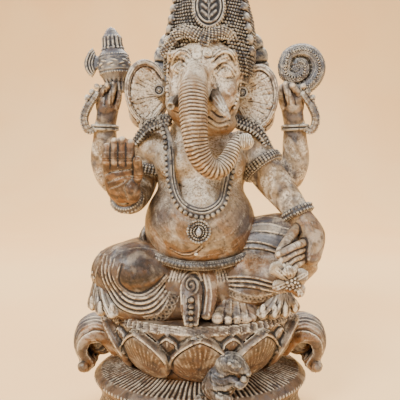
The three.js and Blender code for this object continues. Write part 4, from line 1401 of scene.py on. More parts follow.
def head():
    clay = Clay("head", SMALL_STEP)
    clay.add(ball(clay.at(4.5, -5, 298), (33, 35, 29)), 1)
    clay.add(ball(clay.at(2, -12, 273), (31, 28, 27)), 6)
    clay.add(limb(clay.route((-1, -30, 303), (-4, -37, 290), (-5, -42, 277)), [11, 12.5, 12.5]), 6)
    clay.add(ball(clay.at(14, -22, 254), (16, 14, 10)), 5)
    for x, z in ((-18, 276), (21, 276)):
        clay.add(ball(clay.at(x, -29, z), (9, 8, 13)), 6)
    for x, z in ((-15, 307.5), (19, 307.5)):
        clay.add(ball(clay.at(x, -29, z), (11, 7.5, 4.5)), 4)
    # brows: a crisp pair of lines over each eye
    brows = (((-22.5, 302), (-19.5, 306), (-15, 308.6), (-10.5, 307), (-8, 304)),
             ((10, 302), (14, 306), (18.5, 308.6), (24, 307.5), (28.6, 301.8)))
    for line in brows:
        clay.groove(clay.front([(x, z - 2.2) for x, z in line]), 1.7, 1.0, 0.8)
        clay.ridge(clay.front(line), 1.3, 1.5, 1.0)
        clay.ridge(clay.front([(x, z + 3.0) for x, z in line]), 1.2, 1.1, 0.9)
        clay.groove(clay.front([(x, z + 1.5) for x, z in line]), 1.1, 1.0, 0.9)
        clay.groove(clay.front([(x, z + 4.6) for x, z in line]), 1.1, 0.7, 0.7)
        clay.groove(clay.front([(x, z - 5.0) for x, z in line[1:-1]]), 1.6, 0.5, 0.35)
    # eyes: a ball under two crisp lids, with a ringed pupil
    eyes = ((-16.4, 297.6, ((-21.2, 295.9), (-19.2, 299.8), (-16.4, 301.6), (-13.4, 299.6), (-11, 295.4)),
             ((-20.4, 295.4), (-16.5, 293.8),
              (-12, 294.8))), (19.8, 294.4, ((12.6, 292.6), (16, 296.4), (19.8, 298.2), (23.8, 296.6),
                                             (27.6, 292)), ((13.8, 292), (20.2, 290), (26.4, 291.4))))
    for x, z, upper, lower in eyes:
        spot = clay.front_spot(x, z)
        clay.cut(ball(spot[0] + (0, -2.2, 0.2), (7.6, 4.0, 5.0)), 2.0)
        clay.add(ball(spot[0] + (0, 2.8, -0.8), (6.2, 3.6, 4.2)), 0.3)
        for line, width, rise in ((upper, 0.9, 1.7), (lower, 0.8, 1.2)):
            clay.ridge(clay.front(line, 0.4), width, rise, 1.0)
        inner = [(px, pz - 1.3) for px, pz in upper]
        clay.groove(clay.front(inner, 0.4), 1.1, 0.9, 1.0)
        clay.groove(clay.front([(px + (px - x) * 0.15, pz + 2.0) for px, pz in upper], 0.4), 1.2, 0.9, 0.8)
        clay.groove(clay.front([(px, pz - 1.7) for px, pz in lower], 0.4), 1.1, 0.8, 0.75)
        clay.groove(clay.front([(px, pz - 4.2) for px, pz in lower], 0.4), 1.0, 0.5, 0.4)
        pupil = clay.front_spot(x, z)
        clay.groove(clay.land(circle(pupil[0], pupil[0] + (0, 1, 0), 2.7, 0.3)), 0.9, 0.6, 0.9)
        clay.groove(clay.land(circle(pupil[0], pupil[0] + (0, 1, 0), 1.0, 0.3)), 0.9, 0.8, 1.0)
        clay.paint("pale", pupil, 0.6, 1.0)
        clay.paint("pale", clay.front(((x - 3, z - 5.5), (x + 3, z - 5.5))), 4.0, 0.55)
    # a plain tilak between the brows: two crescents and a drop
    for x, z, r in ((-2.4, 305.6, 2.9), (6.0, 307.2, 2.9)):
        arc = [(x + r * math.cos(a), z + r * math.sin(a))
               for a in np.linspace(math.radians(160), math.radians(380), 11)]
        clay.groove(clay.front([(x + (px - x) * 1.5, z + (pz - z) * 1.5) for px, pz in arc], 0.4), 1.0, 0.6,
                    0.8)
        clay.ridge(clay.front(arc, 0.4), 1.2, 1.1, 1.0)
    clay.studs(clay.front_spot(6.0, 307.6), 1.0)
    clay.studs(clay.front_spot(1.8, 311), 1.1)
    # bead strings that hang down the cheeks from the crown
    for line in (((-23, 312), (-25.5, 302), (-26.5, 290), (-26, 278), (-24, 266)),
                 ((33.5, 312), (35, 302), (33.5, 290), (31, 278), (27.5, 266))):
        string = clay.front(line)
        clay.paint("dark", string, 2.6, 0.85)
        clay.beads(string + (0, -0.5, 0), 1.6, 3.3)
        clay.beads(string + (1.9 if line[0][0] < 0 else -1.9, -0.6, 0), 0.8, 2.0)
    # creases: beside the trunk's root, down the cheeks and at the smile
    for line, width, depth in ((((-13, 292), (-17, 284), (-17.5, 275), (-15, 266)), 1.6, 1.0),
                               (((10, 291), (13.5, 284), (14.5, 276)), 1.6,
                                1.0), (((9, 263), (16, 258.5), (23, 261), (26, 266)), 1.3,
                                       1.2), (((7, 258), (15, 253.5), (24, 256)), 1.3,
                                              1.0), (((6, 254), (14, 249.5), (22, 251)), 1.1,
                                                     0.8), (((-10, 264), (-15, 261), (-21, 263)), 1.3,
                                                            1.0)):
        clay.groove(clay.front(line), width, depth, 0.5)
    for k in range(5):
        line = ((-9.5 - 0.4 * k, 301 - 2.2 * k), (-3, 303.6 - 2.2 * k), (5.5 + 0.2 * k, 302 - 2.2 * k))
        clay.groove(clay.front(line, 0.5), 0.7, 0.45, 0.3)
    x, y, z = clay.skin_in_frame()
    front = y < -8
    clay.tint("warm", mixed(1.2 - np.hypot((x - 24) / 9, (z - 277) / 11)) * front * 0.6)
    blot = mixed(noise(x, y, z, 4.2, 4) * 2.2)
    clay.tint("dark", mixed(1.15 - np.hypot((x - 24) / 8, (z - 276) / 9)) * blot * front * 0.55)
    clay.tint("dark", mixed(1.1 - np.hypot((x + 21) / 6, (z - 270) / 9)) * blot * front * 0.4)
    clay.tint("warm", mixed(1.1 - np.hypot((x + 20) / 7, (z - 271) / 10)) * front * 0.45)
    clay.tint("pale", mixed((z - 258) / 20) * front * mixed(noise(x, y, z, 13, 6) * 1.5 + 0.7) * 0.95)
    clay.tint("warm", front * mixed(noise(x, y, z, 10, 21) * 2.2 - 0.2) * 0.4)
    clay.tint("pale", mixed(1.1 - np.hypot((x - 20) / 9, (z - 285) / 5.5)) * front * 0.95)
    clay.tint("cool", mixed(1.1 - np.hypot((x - 29) / 5, (z - 291) / 12)) * front * 0.5)
    clay.lift(0.1 * noise(x, y, z, 3.4, 2))
    piece(clay, "antiqued_body")


TRUNK_ROUTE = ((-4, -40, 297), (-4, -46, 286), (-5, -52, 275), (-5, -57, 261), (-4, -60, 246),
               (-2, -60, 232), (4, -58, 221), (13, -55,
                                               217), (21, -51, 224), (27, -46, 236), (31, -42, 243))


def trunk():
    clay = Clay("trunk", TINY_STEP)
    route = clay.route(*TRUNK_ROUTE)
    clay.add(limb(route, [6.5, 9.8, 11.2, 11, 10, 9.2, 8.6, 8, 7, 5.5, 3.5], spacing=1.2), 0)
    path = curve(route, 0.4)
    along, offset = clay.wrap(path)
    right, back, up = offset.T
    length = along.max()
    wave = 0.5 * noise(right, back, up, 12, 3)
    pitch = 2.55
    ring = 0.5 + 0.5 * np.cos(TURN * (along + wave) / pitch)
    uneven = 0.75 + 0.5 * noise(along, along * 0, along * 0, 3.1, 11)
    groove = ring**2 * np.clip(uneven + 0.3 * noise(right, back, up, 7, 12), 0.3, 1.15)
    clay.sink(0.5 * groove * mixed((along - 4) / 34))
    tops = (1 - ring) ** 2
    rubbed = mixed(noise(right, back, up, 9, 5) + 0.55)
    clay.tint("pale", tops**3 * rubbed * (0.3 + 0.3 * mixed((along - 80) / 20)))
    clay.tint("pale", mixed((22 - along) / 14) * 0.6)
    clay.tint("dark", groove * mixed((along - 8) / 40) * 0.6)
    brown = mixed(noise(right, back, up, 6, 17) * 2 + 0.3) * mixed((along - 22) / 24)
    clay.tint("dark", brown * 0.38)
    clay.tint("cool", mixed((along - length + 22) / 10) * 0.6)
    clay.tint("warm", mixed((along - 10) / 30) * mixed((95 - along) / 20) * 0.3)
    tip = clay.at(31, -42, 243)
    clay.cut(ball(tip + (1.5, -1.5, 2.6), (1.7, 1.7, 2.2)), 0.5)
    piece(clay, "antiqued_body")


def tusk(node, route, radii, broken):
    clay = Clay(node, cell(0.4))
    points = clay.route(*route)
    clay.add(limb(points, radii, spacing=1), 0)
    end = points[-1]
    way = points[-1] - points[-2]
    way /= np.linalg.norm(way)
    if broken:
        clay.cut(ball(end + way * 5.0, 4.4), 0.5)
    along, offset = clay.wrap(curve(points, 0.4))
    x, y, z = (clay.low[k] + clay.step * clay.cells[k] for k in range(3))
    grain = np.cos(np.arctan2(offset[:, 2], offset[:, 0]) * 9 + 0.08 * along)
    clay.lift(0.12 * grain)
    for k in range(3):
        ring = 0.5 + 0.5 * np.cos((along - 3 - 2.1 * k) * 3)
        clay.lift(0.35 * ring * (np.abs(along - 3 - 2.1 * k) < 1.05))
    root = mixed(((30 if broken else 21) - along) / 5)
    clay.tint("dark", root * 0.85)
    clay.tint("dark", mixed(noise(x, y, z, 5, 3) * 2) * 0.4)
    clay.tint("warm", mixed(noise(x, y, z, 7, 8) * 2 + 0.3) * 0.6)
    clay.tint("pale", mixed((along - 24) / 6) * 0.7)
    piece(clay, "pale_highlight")


def ear(node, at, turn, side):
    clay = Clay(node, SMALL_STEP)
    middle = clay.at(*at)
    m = turned_back(turn)

    def spot(u, v, w):
        """A place on the ear: u out from the cheek, v back and w up."""
        return middle + m.T @ np.array([side * u, v, w])

    clay.add(ball(middle, (18, 5, 27), turn), 0)
    clay.add(ball(spot(5, 0, -17), (12, 4.5, 12), turn), 5)
    clay.cut(ball(spot(-1.5, -7.5, 0), (17, 6.2, 25), turn), 1.5)
    clay.cut(ball(spot(5, -7, -15), (9.5, 5.2, 10.5), turn), 2)
    rim = [spot(16.8 * math.cos(a), -2.6 + 0.8 * math.sin(a), 25.8 * math.sin(a))
           for a in np.radians(np.arange(150, -75, -15))]
    rim += [spot(8, -2.4, -27.5), spot(1, -2.2, -24), spot(-6, -1.8, -17), spot(-12, -1.5, -10)]
    clay.add(limb(rim, [2.0, 2.7, 3.1, 3.1, 2.8, 2.5, 2.3, 2.2, 2.2, 2.4, 2.0], spacing=2), 0.6)
    path = curve(rim, 0.6)
    along, offset = clay.wrap(path)
    on_rim = mixed((3.9 - np.linalg.norm(offset, axis=1)) / 0.6)
    turned_by = np.arctan2(offset[:, 1], np.hypot(offset[:, 0], offset[:, 2])
                           * np.sign(offset[:, 0] + 1e-9))
    stripes = 0.5 + 0.5 * np.cos(turned_by * 7 + 0.5 * np.sin(along * 0.5))
    clay.sink(on_rim * 0.5 * stripes**3)
    clay.tint("dark", on_rim * stripes**3 * 0.5)
    clay.tint("cool", on_rim * mixed((70 - along) / 12) * 0.55)
    clay.tint("pale", on_rim * 0.5 * mixed(noise(*(offset[:, k] for k in range(2)), along, 7, 3) * 2))
    x, y, z = clay.skin()
    d = np.stack([x - middle[0], y - middle[1], z - middle[2]])
    u, v, w = (m[k] @ d for k in range(3))
    u = u * side
    k = np.sqrt((u / 18) ** 2 + (w / 27) ** 2)
    front = mixed((1.2 - v) / 2)
    # the hollow is finely wrinkled in a fan from where the ear meets the cheek
    fan = np.arctan2(w + 2, u + 20)
    lines = np.cos(fan * 44 + 2.2 * noise(x, y, z, 15, 2))
    bowl = mixed((0.84 - k) / 0.08) * front * mixed((u + 18) / 6)
    patch = mixed(noise(x, y, z, 8, 7) + 0.55)
    clay.sink(bowl * patch * 0.7 * np.maximum(0, -lines) ** 3)
    clay.tint("dark", bowl * patch * 0.8 * np.maximum(0, -lines) ** 3)
    clay.tint("pale", bowl * mixed(noise(x, y, z, 11, 4) + 0.9) * 0.95)
    clay.tint("warm", front * mixed((k - 0.62) / 0.15) * mixed((0.86 - k) / 0.05) * 0.5)
    for u0, w0 in ((12.5, -5), (14.6, -2), (14.8, -7.6), (6, -20), (9, -17.5), (9.6, -22)):
        pearl_at = clay.land([spot(u0, 0, w0)])
        if len(pearl_at):
            clay.paint("dark", pearl_at, 2.0, 0.5)
            clay.studs(pearl_at, 1.3)
    back = mixed((v - 1) / 2)
    clay.lift(back * 0.5 * np.cos(fan * 18 + noise(x, y, z, 16)) ** 3)
    piece(clay, "antiqued_body")


def ear_stud(node, at):
    clay = Clay(node, cell(0.35), 3)
    hub = clay.at(*at)
    clay.add(disc(hub, 4.9, 4.9, 9.4), 0)
    front = np.array([0, -4.6, 0])
    clay.ridge(circle(hub, hub + (0, 1, 0), 4.1) + front, 0.7, 0.8, 0.6)
    clay.groove(circle(hub, hub + (0, 1, 0), 3.0) + front, 0.6, 0.8, 0.4)
    clay.beads(circle(hub, hub + (0, 1, 0), 2.0) + front, 0.6, 1.5)
    clay.studs([hub + front + (0, -0.2, 0)], 1.2)
    clay.skin()
    clay.tint("cool", 0.7)
    clay.tint("dark", 0.25)
    piece(clay, "slate_wash")


def crown():
    clay = Clay("crown", cell(0.6))
    wall = [(34, 290), (37, 299), (37.8, 312), (37.5, 326), (34.5, 342), (29.5, 357), (27, 366), (21, 374),
            (19, 386), (13, 391), (11, 400), (0, 402), (0, 290)]
    clay.add(clay.lathe(reversed(wall), 7, 0, 0.85, 3), 0)
    axle = Axle(clay, 7, 0, 290, 3, 0.85)
    clay.cut(ball(clay.at(4.5, -46, 297), (32.5, 31, 31.5)), 1)
    x, y, z = clay.skin()
    angle, _, height = axle.measure(x, y, z)
    height = height + 290
    lower = mixed((height - 294) / 3) * mixed((366 - height) / 2)
    sway = 0.22 * noise(x, y, z, 15, 5)
    row = (height - 296) / 2.7 + sway
    around = angle * 42 / math.pi + np.round(row) * 0.5 + sway
    knots = np.abs(np.cos(around * math.pi)) * np.abs(np.cos(row * math.pi))
    clay.lift(lower * 1.5 * knots ** 0.8)
    clay.sink(lower * 0.5 * (1 - knots) ** 3)
    clay.tint("pale", lower * mixed((knots - 0.85) / 0.12) * 0.6 * mixed(noise(x, y, z, 9, 4) * 1.6 + 0.35))
    clay.tint("dark", lower * mixed(noise(x, y, z, 11, 14) * 2 + 0.2) * 0.4)
    clay.tint("dark", lower * (1 - knots) * 0.85)
    clay.tint("warm", lower * mixed(noise(x, y, z, 28, 6) * 2) * 0.5)
    # painted shade: a blue-grey cast on the crown's +X side, the side turned from the key light
    clay.tint("cool", lower * mixed((x + clay.home[0] - 12) / 10) * mixed(noise(x, y, z, 20, 3) * 2 + 0.5)
              * 0.6)
    # the tier above: upright leaves, then a ribbed cap
    tier = mixed((height - 366) / 1.5)
    leaf = np.abs(np.cos(angle * 9))
    clay.lift(tier * 1.6 * leaf * mixed((389 - height) / 3))
    clay.sink(tier * 0.8 * (1 - leaf) ** 4)
    clay.tint("pale", tier * leaf**6 * 0.6)
    for level, out, size in ((368, 26.5, 1.5), (388.5, 15.5, 1.2)):
        clay.beads(axle.ring(out, level - 290, 400), size, size * 2.2)
    # a corded arch over the brow and down both temples
    arch = ((-27.5, 292), (-26.5, 306), (-21.5, 320), (-13, 328.5), (3, 331), (17, 329.5), (28, 323),
            (35.5, 309), (38, 292))
    for grow, size in ((0, 1.5), (3.2, 1.25)):
        path = [(3 + (px - 3) * (1 + grow * 0.02), pz + grow * (1 if abs(px - 3) < 26 else 0.3)) for px,
                pz in arch]
        line = clay.front(path, 0.6)
        if len(line) > 3:
            clay.paint("dark", line, 2.6, 0.8)
            clay.beads(line, size, size * 2.2)
    # scallop leaves at the sides
    for side in (-1, 1):
        for k in range(6):
            hx, hz = 7 + side * (32 - 1.6 * k), 312 + 8.5 * k
            spot = clay.front_spot(hx, hz)
            if len(spot):
                clay.add(ball(spot[0] + (side * 2, 3, 1.5), (4.4, 4.5, 4.2)), 0.8)
                clay.paint("cool", spot, 4, 0.6)
                for t in (-1.8, 0, 1.8):
                    clay.groove(clay.land([spot[0] + (t, 0, 0.2 * q) for q in range(0, 18, 3)]), 0.5, 0.5,
                                0.4)
    piece(clay, "slate_wash")


def crown_finial():
    clay = Clay("crown_finial", cell(0.4))
    wall = [(0, 396), (7, 396), (10, 405), (6, 409), (3.5, 412), (1, 416), (0, 416)]
    clay.add(clay.lathe(wall, 11, 0, lean=3), 0)
    x, y, z = clay.skin()
    x, y, z = x + clay.home[0] - 11, y + clay.home[1], z + clay.home[2]
    petals = np.cos(np.arctan2(y, x) * 6) ** 2
    clay.lift(0.9 * petals * mixed((411 - z) / 2))
    clay.tint("pale", 0.6 * petals**3)
    clay.beads(circle(clay.at(11, 0, 398.5), clay.at(11, 0, 399.5), 8.4), 0.9, 2.1)
    piece(clay, "slate_wash")


def crown_medallion():
    clay = Clay("crown_medallion", cell(0.4))
    turn = (-11.5, 0, 0)
    hub = clay.at(7, -30, 344)
    clay.add(disc(hub, 12, 17, 6, turn, 1.6), 0)
    tilt = np.array(Euler([math.radians(a) for a in turn]).to_matrix())

    def spot(u, w):
        return hub + tilt @ np.array([u, -3.0, w])

    angles = np.linspace(0, TURN, 120)
    for share, width, height, pale in ((0.97, 0.9, 0.9, 0.4), (0.78, 0.9, 1.2, 1.0)):
        clay.ridge([spot(12 * share * math.cos(a), 17 * share * math.sin(a)) for a in angles], width,
                   height, pale)
    clay.groove([spot(12 * 0.875 * math.cos(a), 17 * 0.875 * math.sin(a)) for a in angles], 1.2, 0.8, 0.7)
    for share in (0.2, 0.4, 0.6):
        clay.groove([spot(12 * share * math.cos(a), 17 * share * math.sin(a)) for a in angles], 3.0, 0.35,
                    0.5)
    clay.ridge([spot(0.2 * math.sin(w), w) for w in np.arange(-11, 11.5, 0.5)], 0.8, 1.3, 0.9)
    for w in (-9, -3.6, 1.8):
        for side in (-1, 1):
            leaf = [spot(side * (0.8 + t * 4.4), w + 4.6 * t ** 0.8) for t in np.linspace(0, 1, 11)]
            clay.ridge(leaf[:4], 0.8, 1.2, 0.9)
            clay.ridge(leaf[3:], 1.7, 1.6, 0.9)
    clay.studs([spot(0, 13.2), spot(0, -12.6)], 0.9)
    clay.beads(np.array([spot(12.6 * math.cos(a), 17.6 * math.sin(a)) + (0, 1.4, 0) for a in angles]), 1.0,
               2.3)
    clay.skin()
    clay.tint("cool", 0.45)
    piece(clay, "slate_wash")


def forehead_band():
    clay = Clay("forehead_band", TINY_STEP)
    route = clay.route((-29, -18, 312), (-15, -29, 325), (4, -33, 321), (21, -29, 324), (34, -16, 311))
    clay.add(limb(route, [3.4, 3.8, 4.4, 3.8, 3.4], spacing=1.5, side=(0, -0.3, 1), widen=1.25), 0)
    path = curve(route, 0.5)
    clay.add(ball(clay.at(4, -36, 316), (4.6, 3.0, 4.4)), 1)
    along, offset = clay.wrap(path)
    scroll = np.cos(along * 1.9 + offset[:, 2] * 1.3) * np.cos(offset[:, 2] * 1.9 - along * 0.6)
    clay.lift(0.85 * np.maximum(0, scroll))
    clay.tint("pale", mixed(scroll * 1.6) * 0.7)
    for lift, size in ((4.0, 1.0), (-4.0, 0.95)):
        edge = clay.land(path + (0, 0, lift))
        if len(edge) > 3:
            clay.beads(edge, size, 2.1)
    hub = clay.at(4, -39, 316)
    clay.beads(clay.land(circle(hub, hub + (0, 1, 0), 3.0)), 0.75, 1.7)
    clay.studs(clay.land([hub]), 1.2)
    piece(clay, "slate_wash")


def halo_fan():
    clay = Clay("halo_fan", cell(0.6))
    hub = clay.at(10, 27, 306)
    blades = 15
    for k in range(blades):
        a = math.radians(-14 + 208 * k / (blades - 1))
        way = np.array([math.cos(a), 0, math.sin(a)])
        clay.add(limb([hub + way * 8, hub + way * 32, hub + way * 49], [2.4, 3.2, 4.6],
                      side=np.array([-way[2], 0, way[0]]), widen=[1.0, 1.7, 1.75]), 0.5)
    clay.add(disc(hub, 33, 33, 4.2), 0.6)
    for k in range(blades):
        a = math.radians(-14 + 208 * k / (blades - 1))
        way = np.array([math.cos(a), 0, math.sin(a)])
        for face in (-1, 1):
            line = [hub + way * r + (0, face * 3.6, 0) for r in np.arange(26, 50, 0.8)]
            clay.ridge(line, 1.0, 0.9, 0.6)
            for off in (-3.2, 3.2):
                side = np.array([-way[2], 0, way[0]]) * off
                clay.ridge([p + side * (0.5 + 0.012 * j) + (0, -face * 0.8, 0) for j, p in enumerate(line)],
                           0.7, 0.6, 0.45)
        b = a + math.radians(7.4)
        side = np.array([math.cos(b), 0, math.sin(b)])
        for face in (-1, 1):
            clay.groove([hub + side * r + (0, face * 2.6, 0) for r in np.arange(14, 54, 0.8)], 1.4, 1.6,
                        0.9)
    x, y, z = clay.skin()
    clay.tint("cool", 0.8)
    out = np.hypot(x - hub[0], z - hub[2])
    clay.tint("pale", mixed((out - 40) / 8) * mixed(noise(x, y, z, 6, 4) * 1.4 + 0.75) * 0.75)
    piece(clay, "slate_wash")


def sweet():
    clay = Clay("sweet", cell(0.35))
    hub = clay.at(35, -45, 238)
    clay.add(ball(hub, (6.2, 5.6, 5.6)), 0)
    clay.add(ball(hub + (0, -1, 3.6), (4.4, 3.6, 3)), 1.2)
    x, y, _ = clay.skin()
    pleats = np.cos(np.arctan2(y - hub[1], x - hub[0]) * 9) ** 2
    clay.lift(0.6 * pleats)
    clay.tint("pale", pleats * 0.6)
    clay.ridge(circle(hub + (0, -0.6, 1.6), hub + (0, -0.6, 2.6), 5.6), 0.7, 0.7, 0.6)
    piece(clay, "pale_highlight")


def arm(node, route, radii, mirrored=False, creases=()):
    clay = Clay(node, mirrored=mirrored)
    points = clay.route(*route)
    clay.add(limb(points, radii, spacing=1.5), 0)
    path = curve(points, 0.6)
    along, offset = clay.wrap(path)
    x, y, z = offset.T
    clay.lift(0.5 * noise(x * 0.6, y * 0.6, z * 0.6, 24, 5))
    for where in creases:
        around = np.arctan2(z, x)
        ring = np.exp(-((along - where - 0.7 * np.sin(around * 2)) / 0.7) ** 2)
        clay.sink(0.8 * ring)
        clay.tint("dark", 0.5 * ring)
    crack = np.abs(noise(x + along * 0.3, y, z + along, 15, 6))
    clay.tint("dark", mixed((0.07 - crack) / 0.05) * 0.48)
    clay.tint("dark", mixed(noise(x, y, along, 4.5, 7) * 2.4 - 0.35) * 0.65)
    clay.tint("dark", mixed(noise(x, y, along, 1.7, 27) * 2.4 - 0.5) * 0.5)
    clay.tint("pale", mixed(noise(x, y, along, 12, 3) * 2.0 + 0.3) * 0.85)
    clay.tint("cool", mixed(noise(x, y, along, 24, 9) * 2) * 0.8)
    piece(clay, "antiqued_body")


def band(node, at, toward, radius, wide, thick, mirrored=False, rows=3, plain=False):
    """An armlet or bangle: bead rows between two cords, or three plain rolls."""
    clay = Clay(node, TINY_STEP, mirrored=mirrored)
    a, b = clay.at(*at), clay.at(*toward)
    clay.add(hoop(a, b, radius, wide, thick), 0)
    way = (b - a) / np.linalg.norm(b - a)
    proud = radius + thick
    if plain:
        for lift in (-0.55, 0.55):
            clay.ridge(circle(a + way * wide * lift, b + way * wide * lift, proud - 0.8), 1.3, 0.9, 0.55)
        clay.groove(circle(a, b, proud - 0.2), 0.8, 0.9, 0.6)
    else:
        for edge in (-1, 1):
            lift = way * (wide - 1.0) * edge
            clay.beads(circle(a + lift, b + lift, proud - 1.7), 0.9, 2.0)
        spread = np.linspace(-0.42, 0.42, rows) if rows > 1 else [0]
        for share in spread:
            lift = way * wide * share
            clay.beads(circle(a + lift, b + lift, proud - 0.5), 1.25, 2.9)
    piece(clay, "slate_wash")


def digit(clay, points, radius, nail=None, melt=0.9):
    """One finger, with a crease at its joint and a nail where it shows."""
    path = [np.array(p) for p in points]
    clay.add(limb(path, [radius * 1.05, radius, radius * 0.9], spacing=1.2), melt)
    middle = path[1]
    way = path[2] - path[1]
    way /= np.linalg.norm(way)
    for shift in (-0.6, 0.9):
        clay.groove(circle(middle + way * shift, middle + way * (shift + 1), radius), 0.55, 0.5, 0.5)
    if nail is not None:
        spot = path[2] + np.array(nail) * radius * 0.75
        clay.add(ball(spot, (radius * 0.55, radius * 0.5, radius * 0.7)), 0.3)
        clay.paint("pale", [spot], radius * 0.8, 0.8)
    clay.paint("pale", [path[2]], radius * 0.9, 0.5)


def front_right_hand():
    clay = Clay("front_right_hand", TINY_STEP)
    clay.add(ball(clay.at(-62, -44, 208), (13, 8, 18)), 0)
    clay.add(ball(clay.at(-53, -46, 200), (7, 7, 10)), 3)
    for x, top, y in zip((-72, -66, -60, -54), (234, 238, 239, 237), (-46, -46, -46, -45)):
        digit(clay, clay.route((x * 0.9 - 6.2, y + 1, 212), (x, -48, 224), (x, -47, top)), 3.9, melt=2.2)
    digit(clay, clay.route((-54, -45, 202), (-48, -48, 212), (-48, -51, 224)), 3.8)
    for line, depth in ((((-73, 213), (-66, 215.5), (-53, 217)), 1.0),
                        (((-71, 207), (-62, 210.5), (-52, 212)),
                         0.9), (((-70, 202), (-62, 205), (-57, 209)),
                                0.6), (((-56, 194), (-58, 203), (-53, 210)), 0.8)):
        crease = clay.front(line)
        clay.groove(crease, 0.8, depth)
        clay.paint("pale", crease, 0.9, 0.9)
    for x in (-69, -63, -57):
        clay.groove(clay.front(((x, 220), (x, 237))), 0.8, 0.3, 0.5)
    for level in (222, 230):
        for x in (-72, -66, -60, -54):
            clay.paint("pale", clay.front(((x - 2.0, level), (x + 2.0, level + 0.4))), 0.6, 0.6)
    x, y, z = clay.skin()
    palm = mixed((-y - clay.home[1] - 36) / 4)
    clay.tint("warm", palm * 0.7)
    clay.tint("dark", palm * mixed((240 - z - clay.home[2]) / 4) * mixed(noise(x, y, z, 7, 3) * 1.4 + 0.7)
              * 0.65)
    piece(clay, "umber_wash")


def front_left_hand():
    clay = Clay("front_left_hand", SMALL_STEP)
    clay.add(limb(clay.route((82, -25, 180), (91, -32, 163), (89, -38, 148)), [9, 11, 9], spacing=1.5), 0)
    digit(clay, clay.route((80, -31, 170), (70, -43, 161), (63, -49.5, 153)), 4.0, nail=(-0.4, -0.6, 0.3))
    for i in range(4):
        digit(clay, clay.route((86 - i, -36 - i, 158 - 4.5 * i), (75, -50 - i, 157 - 4.5 * i),
                               (61 + 2 * i, -54 - i, 151 - 4.5 * i)), 3.4, nail=(-0.3, -0.75, 0.3))
    for i in range(3):
        clay.groove(clay.front(((84 - i, 155.5 - 4.5 * i), (74, 154.6 - 4.5 * i),
                                (66 + 2 * i, 150.5 - 4.5 * i))), 0.9, 0.7, 0.6)
    for k in range(3):
        clay.ridge(clay.front(((86 + 1.8 * k, 176 - k), (90 + 1.2 * k, 162 - k), (86, 152 - 3.0 * k))), 1.5,
                   0.5, 0.1)
    x, y, z = clay.skin()
    clay.tint("cool", mixed(noise(x, y, z, 18, 3) * 1.5 + 0.4) * 0.9)
    clay.tint("dark", mixed(noise(x, y, z, 4, 13) * 2.2 - 0.2) * 0.6)
    clay.tint("warm", mixed(noise(x, y, z, 9, 5) * 2) * 0.5)
    piece(clay, "antiqued_body")


def rear_hand(node, mirrored, slot):
    clay = Clay(node, SMALL_STEP, mirrored=mirrored)
    clay.add(limb(clay.route((85, 15, 252), (82, 13, 270), (79, 14, 288)), [8.6, 9.6, 7], spacing=1.5), 0)
    digit(clay, clay.route((87, 9, 272), (86, 8, 281), (80, 3, 288)), 3.2, nail=(0, -0.8, 0.2))
    digit(clay, clay.route((80, 6, 272), (77, 5, 281), (75, 6, 290)), 3.1, nail=(0, -0.8, 0.2))
    digit(clay, clay.route((74, 9, 270), (71.5, 9, 279), (72, 9, 288)), 2.8)
    digit(clay, clay.route((90, 15, 270), (90, 14, 280), (87, 12, 288)), 3.0)
    for x in (77.5, 83.5):
        clay.groove(clay.front(((x, 272), (x - 1, 284))), 0.9, 0.8, 0.6)
    clay.groove(circle(clay.at(85, 15, 262), clay.at(84.6, 15, 263), 8.9), 0.9, 0.5, 0.4)
    x, y, z = clay.skin()
    clay.tint("cool", mixed(noise(x, y, z, 16, 3) * 1.5 + 0.3) * 0.8)
    clay.tint("dark", mixed(noise(x, y, z, 5, 13) * 2.2) * 0.5)
    piece(clay, slot)


def axe_head():
    clay = Clay("axe_head", cell(0.45))
    wall = [(0, 0), (8, 0), (8.5, 8), (13, 15), (14, 23), (12.5, 31), (8, 37), (7.5, 47), (3, 54), (0, 55)]
    foot = 285
    clay.add(clay.lathe([(r, z + foot) for r, z in wall], -74, 15, lean=-5), 0)
    axle = Axle(clay, -74, 15, foot, -5)
    around, _, height = axle.measure(*clay.skin())
    belly = mixed((height - 12) / 2) * mixed((32 - height) / 2)
    scrolls = np.cos(around * 9 + 1.2 * np.sin(height)) * np.cos(height * 1.25)
    middle = belly * np.exp(-((height - 23.5) / 4.2) ** 2)
    clay.lift(0.8 * middle * np.maximum(0, scrolls))
    clay.tint("pale", middle * mixed(scrolls * 1.8) * 0.7)
    neck = mixed((height - 35) / 2) * mixed(47 - height)
    flutes = np.cos(around * 7) ** 2
    clay.lift(0.9 * neck * flutes)
    clay.tint("pale", neck * flutes**4 * 0.5)
    low = mixed((12 - height) / 3)
    clay.lift(0.6 * low * np.cos(around * 8) ** 2)

    for at, radius, size in ((15.5, 13.4, 0.9), (30.6, 12.8, 0.9), (36.6, 8.6, 1.15), (47, 7.6, 1.05),
                             (8.5, 9.0, 0.9)):
        clay.beads(axle.ring(radius, at), size, size * 2.3)
    for at, radius in ((18.2, 13.9), (28.4, 13.4), (50, 5.4), (52, 4.4), (4, 8.2)):
        clay.ridge(axle.ring(radius, at), 0.9, 0.8, 0.5)
    clay.studs([axle.ring(0.01, 54.6)[0]], 1.6)
    clay.tint("cool", 0.6)
    piece(clay, "slate_wash")


